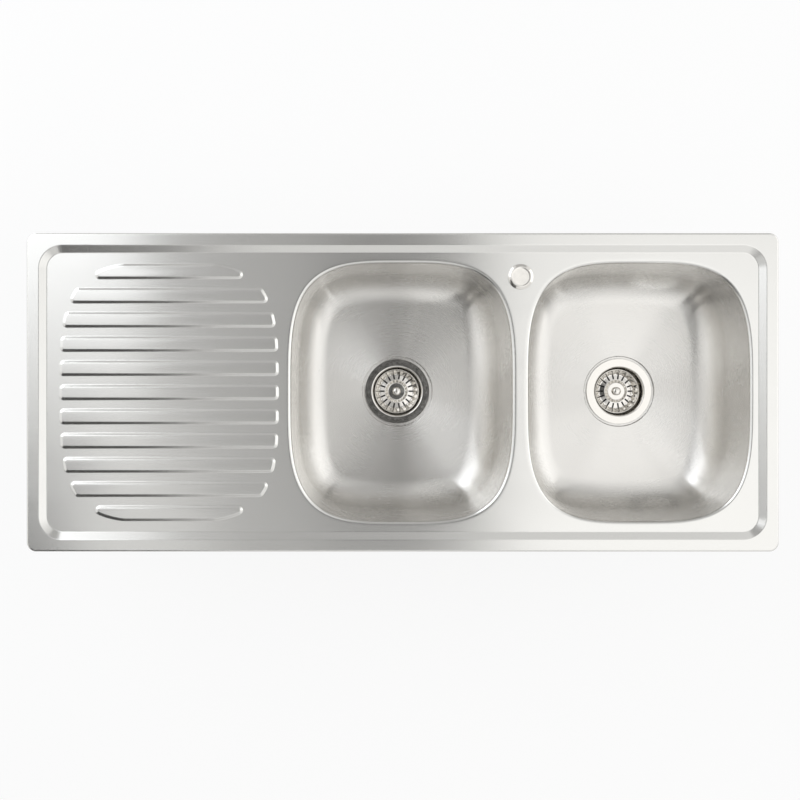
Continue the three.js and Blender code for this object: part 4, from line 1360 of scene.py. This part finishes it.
@dataclass
class Basket(DrainFitting):
    """The lift-out basket: a fluted strainer with a knob, a stem and a seal."""

    sheet: float = 0.7
    rim_radius: float = 37.5
    rim_width: float = 1.8
    rim_depth: float = 15.0
    rim_edge: Offsets = ((0.0, 0.7), (0.15, 0.2), (0.5, 0.0))  # inwards and down from its corner
    foot_edge: Offsets = ((-0.1, -1.1), (0.3, -0.3), (0.9, 0.2))  # the same from the floor's corner
    floor_depth: float = 29.0
    floor_radius: float = 29.5
    slots: int = 18
    slot_width: float = 2.6
    slot_inner: float = 20.5
    slot_outer: float = 28.0
    slot_fall: float = 1.2
    slot_sink: float = 0.3
    slot_steps: int = 3
    slot_rows: int = 6
    half_steps: int = 8
    flute: float = 0.9
    boss_radius: float = 19.0
    boss_top_radius: float = 14.5
    boss_height: float = 5.0
    knob_radius: float = 7.0
    neck_radius: float = 3.5
    head_height: float = 4.0
    spigot_radius: float = 2.2
    stem_radius: float = 4.0
    collar_radius: float = 8.0
    collar: float = 1.0
    dome_height: float = 2.8
    dome_steps: int = 12

    def __post_init__(self) -> None:
        """Works out the places from the frame; the pieces ride on the basket's own body."""
        super().__post_init__()
        self.body = f"{self.side}_basket"
        self.boss_level = self.depth(self.floor_depth) + self.boss_height

    def _loop(self, radius: float, z: float, flute: float = 0.0) -> Loop:
        """Draws a loop whose points keep to the slots' straight edges.

        Args:
            radius: The loop's radius.
            z: Its height.
            flute: How far it waves, inwards at each slot and outwards between them.

        Returns:
            The loop.
        """
        period = TURN / self.slots
        near = min(max(radius, self.slot_inner), self.slot_outer)
        edge = math.asin(self.slot_width / 2 / near)
        loop: Loop = []
        for k in range(self.slots):
            for j in range(-self.half_steps, self.half_steps):
                if abs(j) <= self.slot_steps:
                    angle = edge * j / self.slot_steps
                else:
                    share = (abs(j) - self.slot_steps) / (self.half_steps - self.slot_steps)
                    angle = math.copysign(lerp(edge, period / 2, share), j)
                angle += k * period
                r = radius - flute * math.cos(self.slots * angle)
                loop.append((r * math.cos(angle), r * math.sin(angle), z))
        return loop

    def _in_slot(self, i: int) -> bool:
        """Says whether a face of the slotted band lies in a slot."""
        j = i % (2 * self.half_steps) - self.half_steps
        return -self.slot_steps <= j < self.slot_steps

    def _pressing(self) -> None:
        """Builds the basket itself."""
        waist = (self.rim_radius + self.floor_radius) / 2
        middle = (self.rim_depth + self.floor_depth) / 2
        inner = self.rim_radius - self.rim_width
        slot_level = self.floor_depth + self.slot_sink
        outside = [
            *((self.rim_radius - inward, self.rim_depth + down, 0.0) for inward, down in self.rim_edge),
            (inner + 0.5, self.rim_depth, 0.0),
            (inner, self.rim_depth + 0.4, 0.0),
            (lerp(inner, waist, 0.3), lerp(self.rim_depth, middle, 0.4), 0.3 * self.flute),
            (waist, middle, self.flute),
            (lerp(waist, self.floor_radius, 0.5), lerp(middle, self.floor_depth, 0.5), self.flute),
            *((self.floor_radius - inward, self.floor_depth + down, self.flute * share)
              for (inward, down), share in zip(self.foot_edge, (1, 1, 0.5))),
            (self.slot_outer, slot_level, 0.0),
        ]
        inner_end = slot_level - self.slot_fall
        foot_of_boss = rounded([
            (self.slot_inner, inner_end, 0),
            (self.boss_radius, inner_end - 0.2, 2),
            (self.boss_top_radius, self.floor_depth - self.boss_height, 2.5),
            (self.spigot_radius + FIT, self.floor_depth - self.boss_height, 0),
        ], closed=False, steps=6)
        shell = Shell()
        wall = shell.loft([self._loop(r, self.depth(d), flute) for r, d, flute in outside])
        boss = shell.loft([self._loop(r, self.depth(d)) for r, d in foot_of_boss])
        rings = [wall[-1]]
        for t in spaced(0, 1, self.slot_rows)[1:-1]:
            radius = lerp(self.slot_outer, self.slot_inner, t)
            rings.append(shell.ring(self._loop(radius, self.depth(slot_level - self.slot_fall * t))))
        rings.append(boss[0])
        for low, high in zip(rings, rings[1:]):
            shell.band(low, high, self._in_slot)
        self.write("basket", shell, POLISHED, "polished_steel", facing=Facing.UP, sheet=self.sheet)

    def _knob(self) -> None:
        """Builds the turned knob, whose spigot goes down through the boss."""
        seat, crown, _ = self.levels("basket_knob")
        base = self.boss_level + FIT
        under = crown - self.head_height
        dome = []
        for angle in spaced(0, math.pi / 2, self.dome_steps):
            fall = self.dome_height * (1 - math.cos(angle))
            dome.append((self.knob_radius * math.sin(angle), crown - fall))
        lower = rounded([
            dome[-1] + (0,),
            (self.knob_radius, under, 0.6),
            (self.neck_radius, under - 1, 0.8),
            (self.neck_radius, base + 1, 0.6),
            (self.neck_radius + 1.2, base, 0.2),
            (self.spigot_radius, base, 0),
            (self.spigot_radius, seat, 0.3),
            (0, seat, 0),
        ], closed=False)
        shell = Shell()
        shell.turn(dome + lower[1:], Segments.RING)
        self.write("basket_knob", shell, POLISHED, "polished_steel")

    def _stem(self) -> None:
        """Builds the stem, with the two collars that hold the seal."""
        end, crown, _ = self.levels("basket_stem")
        seal_foot, seal_top, _ = self.levels("basket_seal")
        low, high = seal_foot - FIT, seal_top + FIT
        shell = Shell()
        shell.turn(rounded([
            (self.spigot_radius + FIT, crown, 0.2),
            (self.stem_radius, crown, 0.4),
            (self.stem_radius, high + self.collar, 0.6),
            (self.collar_radius, high + self.collar, 0.4),
            (self.collar_radius, high, 0.2),
            (self.stem_radius, high, 0),
            (self.stem_radius, low, 0),
            (self.stem_radius + 1.5, low, 0.2),
            (self.stem_radius + 1.5, low - self.collar, 0.4),
            (self.stem_radius, end, 0.6),
            (0.8, end, 0),
            (0.8, end + 1, 0),
            (self.spigot_radius + FIT, end + 2, 0),
        ]), Segments.STEM, wraps=True)
        self.write("basket_stem", shell, NYLON, "white_plastic")

    def _seal(self) -> None:
        """Builds the rubber seal, whose edge slopes to the cup's ledge."""
        low, high, reach = self.levels("basket_seal")
        shell = Shell()
        shell.turn(rounded([
            (self.stem_radius + FIT, high, 0.2),
            (reach - 4, high, 2),
            (reach, high - 0.4, 0.4),
            (reach, low + 0.9, 0.3),
            (reach - 2.5, low, 0.6),
            (self.stem_radius + FIT, low, 0.2),
        ]), Segments.CUP, wraps=True)
        self.write("basket_seal", shell, RUBBER, "rubber")

    def build(self) -> None:
        """Builds and dresses the basket."""
        self._pressing()
        self._knob()
        self._stem()
        self._seal()


@dataclass
class TapHoleCap:
    """The cap over the unused tap hole, held from below by a stud, a washer and a wing nut."""

    radius: float = 20.0
    sheet: float = 0.6
    edge: float = 1.0
    slope: float = 4.5
    dish: float = 0.5
    stud_radius: float = 3.0
    stud_head: float = 8.0
    stud_pitch: float = 1.0
    nut_radius: float = 5.5
    nut_height: float = 7.0
    wing: float = 1.8
    stud_thread: float = 0.55
    stud_point: float = 0.8
    point_share: float = 0.6  # of the core's radius
    thread_ends: tuple[float, float] = (0.5, 3.0)  # kept clear at the point and at the head
    seal_width: float = 1.6
    washer_radius: float = 19.5
    soft: float = 0.3

    def _write(self, name: str, shell: Shell, finish: Finish, slot: str, **look: object) -> None:
        """Moves a shell to the tap hole and writes it.

        Args:
            name: The node's name.
            shell: The shell, about the upright axis.
            finish: Its finish.
            slot: The name of a slot for the finish; the piece keeps it, but nothing here uses it.
            look: Anything else that Piece takes.
        """
        at = centre("tap_hole_cap")
        shell.move(at.x, at.y)
        Piece(name, "sink", finish, slot, **look).write(shell)

    def _cap(self) -> None:
        """Builds the pressed cap: a low edge, a soft slope up to its crown and a shallow dish."""
        crown, base = top("tap_hole_cap"), foot("tap_hole_cap")
        shoulder = self.radius - self.slope
        path = rounded([
            (self.radius, base, 0),
            (self.radius, base + self.edge, 0.8),
            (shoulder, crown, 4),
            (shoulder - 2, crown - self.dish, 4),
            (0, crown - self.dish, 0),
        ], closed=False, steps=8)
        shell = Shell()
        shell.turn(path, Segments.CUP)
        self._write("tap_hole_cap", shell, POLISHED, "polished_steel", facing=Facing.UP, sheet=self.sheet)

    def _tube(self, name: str, outer: float, inner: float, finish: Finish, slot: str) -> None:
        """Builds a ring with softened edges between its node's own levels.

        Args:
            name: The node's name.
            outer: The outer radius.
            inner: The inner radius.
            finish: The ring's finish.
            slot: The name of a slot for the finish; the piece keeps it, but nothing here uses it.
        """
        low, high = foot(name), top(name)
        corners = ((inner, low), (outer, low), (outer, high), (inner, high))
        shell = Shell()
        shell.turn(rounded([(radius, z, self.soft) for radius, z in corners]), Segments.RING, wraps=True)
        self._write(name, shell, finish, slot)

    def _stud(self) -> None:
        """Builds the stud, whose flat head is bonded under the cap."""
        crown, end = top("tap_cap_stud"), foot("tap_cap_stud")
        core = self.stud_radius - self.stud_thread
        shell = Shell()
        shell.turn(rounded([
            (0, crown, 0),
            (self.stud_head, crown, 0.2),
            (self.stud_head, crown - 1, 0.2),
            (core, crown - 1, 0.6),
            (core, end + self.stud_point, 0.2),
            (core * self.point_share, end, 0),
            (0, end, 0),
        ], closed=False), Segments.STEM)
        low, high = self.thread_ends
        shell.thread(core, self.stud_radius, self.stud_pitch, end + low, crown - high)
        self._write("tap_cap_stud", shell, ZINC, "zinc_steel")

    def _wing_nut(self) -> None:
        """Builds the wing nut from a barrel and two rounded wings."""
        low, high = (Vector(corner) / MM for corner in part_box("tap_cap_wing_nut"))
        half = (high.x - low.x) / 2
        base = high.z - self.nut_height
        hole = self.stud_radius + FIT
        shell = Shell()
        shell.turn(rounded([
            (hole, base, 0.3),
            (self.nut_radius, base, 0.8),
            (self.nut_radius - 0.7, high.z, 0.8),
            (hole, high.z, 0.3),
        ]), Segments.NUT, wraps=True)
        for side in (1, -1):
            wing = rounded([
                (side * (self.nut_radius - 1.5), base + 0.3, 0),
                (side * half / 2, low.z, 2),
                (side * half, low.z, 3),
                (side * (half - 0.5), base + self.nut_height / 3, 3.5),
                (side * (self.nut_radius - 1.5), high.z - 1, 0),
            ], steps=6)
            shell.strip(wing, self.wing)
        self._write("tap_cap_wing_nut", shell, ZINC, "zinc_steel", bevel=0.3)

    def build(self) -> None:
        """Builds and dresses the cap and what holds it."""
        self._cap()
        edge = self.radius - self.sheet - FIT
        self._tube("tap_cap_seal", edge, edge - self.seal_width, RUBBER, "rubber")
        self._stud()
        self._tube("tap_cap_washer", self.washer_radius, self.stud_radius + FIT, NYLON, "white_plastic")
        self._wing_nut()


@dataclass
class RimSeal:
    """The foam strip stuck under the border."""

    inset: float = 3.0
    width: float = 8.0
    corner: float = 12.0
    soft: float = 0.5

    def build(self) -> None:
        """Builds and dresses the strip."""
        half_x, half_y = half_size("deck")
        base, crown = foot("rim_seal"), top("rim_seal")
        inner = self.inset + self.width
        corners = ((self.inset, base), (inner, base), (inner, crown), (self.inset, crown))
        loops = []
        for inset, z in rounded([(x, z, self.soft) for x, z in corners]):
            loops.append(rounded_rectangle(half_x - inset, half_y - inset, self.corner, z))
        shell = Shell()
        shell.loft(loops, wraps=True)
        Piece("rim_seal", "sink", FOAM, "foam").write(shell)


@dataclass
class Clip:
    """One worktop clip: a bracket welded under the deck, its screw and the foot that turns on it."""

    name: str
    bracket_sheet: float = 1.5
    bracket_foot: float = 11.0
    bracket_width: float = 14.0
    bend: float = 2.2
    screw_radius: float = 2.5
    screw_pitch: float = 0.8
    head_height: float = 3.4
    foot_sheet: float = 2.0
    foot_width: float = 15.0
    foot_tail: float = 11.0
    foot_reach: float = 46.0
    play: float = 0.4
    screw_thread: float = 0.45
    screw_point: float = 0.8
    point_share: float = 0.7  # of the core's radius
    thread_ends: tuple[float, float] = (3.0, 0.6)  # kept clear at the head and at the point
    cross_reach: float = 2.1
    cross_half_width: float = 0.55
    cross_depth: float = 1.8
    flat: float = 5.0

    def _write(self, kind: str, body: str, shell: Shell, turn: float = 0.0, **look: object) -> None:
        """Moves a shell to the clip's screw and writes it.

        Args:
            kind: The node's name without the clip's.
            body: The body it rides on.
            shell: The shell, about the upright axis.
            turn: The angle it turns by first.
            look: Anything else that Piece takes.
        """
        at = centre(f"{self.name}_screw")
        shell.move(at.x, at.y, turn)
        Piece(f"{self.name}_{kind}", body, ZINC, "zinc_steel", **look).write(shell)

    def _bracket(self) -> None:
        """Builds the hat-shaped bracket, with a tapped hole in its bridge."""
        node = f"{self.name}_bracket"
        low, high = (Vector(corner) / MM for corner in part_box(node))
        half = (high.x - low.x) / 2
        leg = half - self.bracket_foot - self.bracket_sheet
        bridge = low.z + self.bracket_sheet
        path = rounded([
            (-half, high.z, 0),
            (-leg, high.z, self.bend + self.bracket_sheet),
            (-leg, bridge, self.bend),
            (leg, bridge, self.bend),
            (leg, high.z, self.bend + self.bracket_sheet),
            (half, high.z, 0),
        ], closed=False, steps=6)
        shell = Shell()
        shell.bent(path, self.bracket_width, self.screw_radius + FIT, bridge, self.flat)
        self._write("bracket", "sink", shell, facing=Facing.UP, sheet=self.bracket_sheet, bevel=0.2)

    def _screw(self) -> None:
        """Builds the screw, whose head points down and has a cross recess."""
        node = f"{self.name}_screw"
        crown, base = top(node), foot(node)
        head, _ = half_size(node)
        seat = base + self.head_height
        core = self.screw_radius - self.screw_thread
        profile = rounded([
            (head - 2, base, 0),
            (head, base, 1.6),
            (head, seat, 0.4),
            (core, seat, 0.3),
            (core, crown - self.screw_point, 0.3),
            (core * self.point_share, crown, 0),
        ], closed=False)
        shell = Shell()
        rings = shell.loft([circle(radius, z, Segments.SCREW) for radius, z in profile])
        arm, half = self.cross_reach, self.cross_half_width
        cross = []
        for cos, sin in ((1, 0), (0, 1), (-1, 0), (0, -1)):
            for x, y in ((arm, -half), (arm, half), (half, half)):
                cross.append((x * cos - y * sin, x * sin + y * cos, base))
        shell.socket(rings[0], cross, -self.cross_depth)
        shell.mesh.faces.new(rings[-1])
        low, high = self.thread_ends
        shell.thread(core, self.screw_radius, self.screw_pitch, seat + low, crown - high)
        self._write("screw", node, shell)

    def _foot(self) -> None:
        """Builds the bent foot, stowed along the edge it was modelled along."""
        node = f"{self.name}_foot"
        low, high = (Vector(corner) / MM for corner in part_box(node))
        level = low.z + self.foot_sheet
        turned = high.x - centre(f"{self.name}_screw").x < self.foot_reach - 1
        path = rounded([
            (self.foot_sheet - self.foot_tail, level + 4, 0),
            (self.foot_sheet - self.foot_tail, level, 1.5),
            (self.foot_reach - self.foot_sheet, level, 1.5),
            (self.foot_reach - self.foot_sheet, high.z, 0),
        ], closed=False, steps=6)
        shell = Shell()
        shell.bent(path, self.foot_width, self.screw_radius + self.play, level, self.flat)
        turn = math.pi if turned else 0.0
        self._write("foot", node, shell, turn, facing=Facing.UP, sheet=self.foot_sheet, bevel=0.3)

    def build(self) -> None:
        """Builds and dresses the clip."""
        self._bracket()
        self._screw()
        self._foot()


# ---- Studio ----


def stage_quad(name: str, corners: Sequence[Point], finish: str) -> tuple[bpy.types.Object, Tree]:
    """Stages one flat face of the studio, which isn't part of the sink.

    Args:
        name: Its name.
        corners: Its four corners, in metres.
        finish: The name of its material.

    Returns:
        The object and the empty node tree of its material.
    """
    mesh = bpy.data.meshes.new(name)
    mesh.from_pydata(corners, [], [(0, 1, 2, 3)])
    quad = bpy.data.objects.new(name, mesh)
    bpy.context.scene.collection.objects.link(quad)
    quad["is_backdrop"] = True
    material = bpy.data.materials.new(finish)
    mesh.materials.append(material)
    return quad, empty_tree(material)


@dataclass(frozen=True)
class Softbox:
    """A flat soft lamp, in metres. It adds its radiance to the white behind it."""

    name: str
    place: Point
    aim: Point
    size: tuple[float, float]
    radiance: float
    tint: str = "#FFFFFF"

    def hang(self) -> None:
        """Hangs the lamp."""
        data = bpy.data.lights.new(self.name, "AREA")
        data.shape = "RECTANGLE"
        data.size, data.size_y = self.size
        data.energy = self.radiance * math.pi * data.size * data.size_y
        data.color = linear(self.tint)[:3]
        lamp = bpy.data.objects.new(self.name, data)
        lamp.location = self.place
        lamp.rotation_euler = Vector(self.aim).to_track_quat("-Z", "Y").to_euler()
        lamp.visible_camera = False
        bpy.context.scene.collection.objects.link(lamp)


@dataclass(frozen=True)
class Card:
    """A grey card, in metres, that the steel mirrors. The camera doesn't see it and it casts no shadow."""

    name: str
    low: Point
    high: Point
    radiance: float

    def hang(self) -> None:
        """Hangs the card: level where low and high are level, and else upright."""
        (x0, y0, z0), (x1, y1, z1) = self.low, self.high
        middle = [(x1, y0, z0), (x0, y1, z0)] if z0 == z1 else [(x1, y1, z0), (x0, y0, z1)]
        corners = [self.low, middle[0], self.high, middle[1]]
        card, tree = stage_quad(self.name, corners, f"studio_{self.name}")
        card.visible_camera = False
        card.visible_shadow = False
        glow = add_node(tree, "ShaderNodeEmission", {"Color": WHITE, "Strength": self.radiance})
        add_node(tree, "ShaderNodeOutputMaterial", links={"Surface": glow.outputs[0]})


WHITE = (1, 1, 1, 1)
DOWN = (0, 0, -1)
DAYLIGHT = "#F2F7FF"
SOFTBOXES = (
    Softbox("left_ceiling_softbox", (-1.7, 1.3, 2.75), DOWN, (1.8, 1.9), 1.0, DAYLIGHT),
    Softbox("left_back_softbox", (-2.05, 2.6, 1.5), (0, -1, 0), (1.5, 2.3), 2.4, DAYLIGHT),
    Softbox("left_side_softbox", (-2.75, 1.55, 1.4), (1, 0, 0), (2.1, 2.3), 1.5, DAYLIGHT),
    Softbox("right_ceiling_softbox", (1.45, -0.5, 2.75), DOWN, (1.9, 2.2), 0.4),
    Softbox("right_side_softbox", (2.75, 0.7, 1.4), (-1, 0, 0), (2.8, 2.5), 0.8),
)
CARDS = (
    Card("back_ceiling_card", (-0.8, -0.3, 2.75), (0.34, 2.6, 2.75), 0.52),
    Card("front_ceiling_card", (-0.55, -1.6, 2.75), (0.34, -0.3, 2.75), 0.58),
    Card("front_left_ceiling_card", (-2.2, -2.6, 2.75), (-1.05, -0.3, 2.75), 0.1),
    Card("back_card", (-0.5, 2.6, 0.1), (1.9, 2.6, 2.75), 0.6),
    Card("back_low_card", (-1.3, 2.6, 0.1), (-0.5, 2.6, 1.6), 0.6),
    Card("front_card", (-0.7, -2.6, 0.1), (0.9, -2.6, 1.6), 0.65),
    Card("front_left_card", (-3.6, -2.6, 0.2), (-0.65, -2.6, 3.8), 0.06),
    Card("camera_card", (-0.14, -0.36, 2.3), (0.34, 0.4, 2.3), 0.08),
)


@dataclass
class Studio:
    """The floor, the soft light and the camera."""

    camera_above_deck: float = 2183.0
    camera_x: float = -104.0
    camera_y: float = 22.0
    picture_middle: tuple[float, float] = (-4.1, -12.1)
    lens: float = 62.67
    floor_size: float = 12.0
    floor_gap: float = 0.5
    floor_glow: float = 0.86
    world_strength: float = 0.8
    farthest: float = 100.0

    def build(self) -> None:
        """Sets up the whole studio."""
        scene = bpy.context.scene
        scene.view_settings.view_transform = "Standard"
        self._camera()
        self._floor()
        self._world()
        for light in (*SOFTBOXES, *CARDS):
            light.hang()

    def _camera(self) -> None:
        """Places the camera straight above the sink."""
        data = bpy.data.cameras.new("camera")
        camera = bpy.data.objects.new("camera", data)
        bpy.context.scene.collection.objects.link(camera)
        height = self.camera_above_deck + top("deck")
        camera.location = (self.camera_x * MM, self.camera_y * MM, height * MM)
        data.lens = self.lens
        width = height * data.sensor_width / self.lens
        data.shift_x = (self.picture_middle[0] - self.camera_x) / width
        data.shift_y = (self.picture_middle[1] - self.camera_y) / width
        data.clip_end = self.farthest
        bpy.context.scene.camera = camera

    def _floor(self) -> None:
        """Lays a pale floor under the waste outlets; it is white to the camera and in reflections."""
        low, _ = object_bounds()
        half, z = self.floor_size / 2, low[2] - self.floor_gap * MM
        sides = ((-half, -half), (half, -half), (half, half), (-half, half))
        _, tree = stage_quad("floor", [(x, y, z) for x, y in sides], "studio_floor_white_vinyl")
        paint = add_node(tree, "ShaderNodeBsdfDiffuse", {"Color": linear("#FAFAF9")})
        glow = add_node(tree, "ShaderNodeEmission", {"Color": WHITE, "Strength": 1.0})
        times = {"operation": "MULTIPLY", 1: self.floor_glow}
        share = add_node(tree, "ShaderNodeMath", times, {0: self._seen(tree)}).outputs[0]
        mixed = self._mixed(tree, share, paint, glow)
        clear = add_node(tree, "ShaderNodeBsdfTransparent")
        back = add_node(tree, "ShaderNodeNewGeometry").outputs["Backfacing"]
        sided = self._mixed(tree, back, mixed, clear)
        add_node(tree, "ShaderNodeOutputMaterial", links={"Surface": sided.outputs[0]})

    @staticmethod
    def _mixed(tree: Tree, share: Socket, first: bpy.types.Node, second: bpy.types.Node) -> bpy.types.Node:
        """Mixes two shaders; share says how much of the second goes in."""
        links = {0: share, 1: first.outputs[0], 2: second.outputs[0]}
        return add_node(tree, "ShaderNodeMixShader", {}, links)

    @staticmethod
    def _seen(tree: Tree) -> Socket:
        """Tells rays that show the background from all others.

        Args:
            tree: The tree that the nodes go into.

        Returns:
            1 for a ray from the camera, from a reflection or through glass, and else 0.
        """
        path = add_node(tree, "ShaderNodeLightPath").outputs
        seen = path["Is Camera Ray"]
        for name in ("Is Glossy Ray", "Is Transmission Ray"):
            either = {0: seen, 1: path[name]}
            seen = add_node(tree, "ShaderNodeMath", {"operation": "MAXIMUM"}, either).outputs[0]
        return seen

    def _world(self) -> None:
        """Makes an even world: white where it is seen, and a plain light elsewhere."""
        world = bpy.data.worlds.new("studio")
        bpy.context.scene.world = world
        tree = empty_tree(world)
        white = add_node(tree, "ShaderNodeBackground", {"Color": WHITE, "Strength": 1.0})
        shade = {"Color": linear("#F4F4F4"), "Strength": self.world_strength}
        plain = add_node(tree, "ShaderNodeBackground", shade)
        mixed = self._mixed(tree, self._seen(tree), plain, white)
        add_node(tree, "ShaderNodeOutputWorld", links={"Surface": mixed.outputs[0]})


def main() -> None:
    """Builds the sink and its studio, and reports each piece."""
    logging.basicConfig(level=logging.INFO, format="%(name)s: %(message)s")
    sides = ("left", "right")
    clips = [f"{edge}_clip_{number}" for edge in ("front", "back") for number in range(1, 5)]
    assemblies = [Deck(), RimSeal(), *map(Bowl, sides), *map(Waste, sides), *map(Basket, sides)]
    assemblies += [TapHoleCap(), *map(Clip, clips)]
    for assembly in assemblies:
        assembly.build()
    Studio().build()


if __name__ == "__main__":
    main()
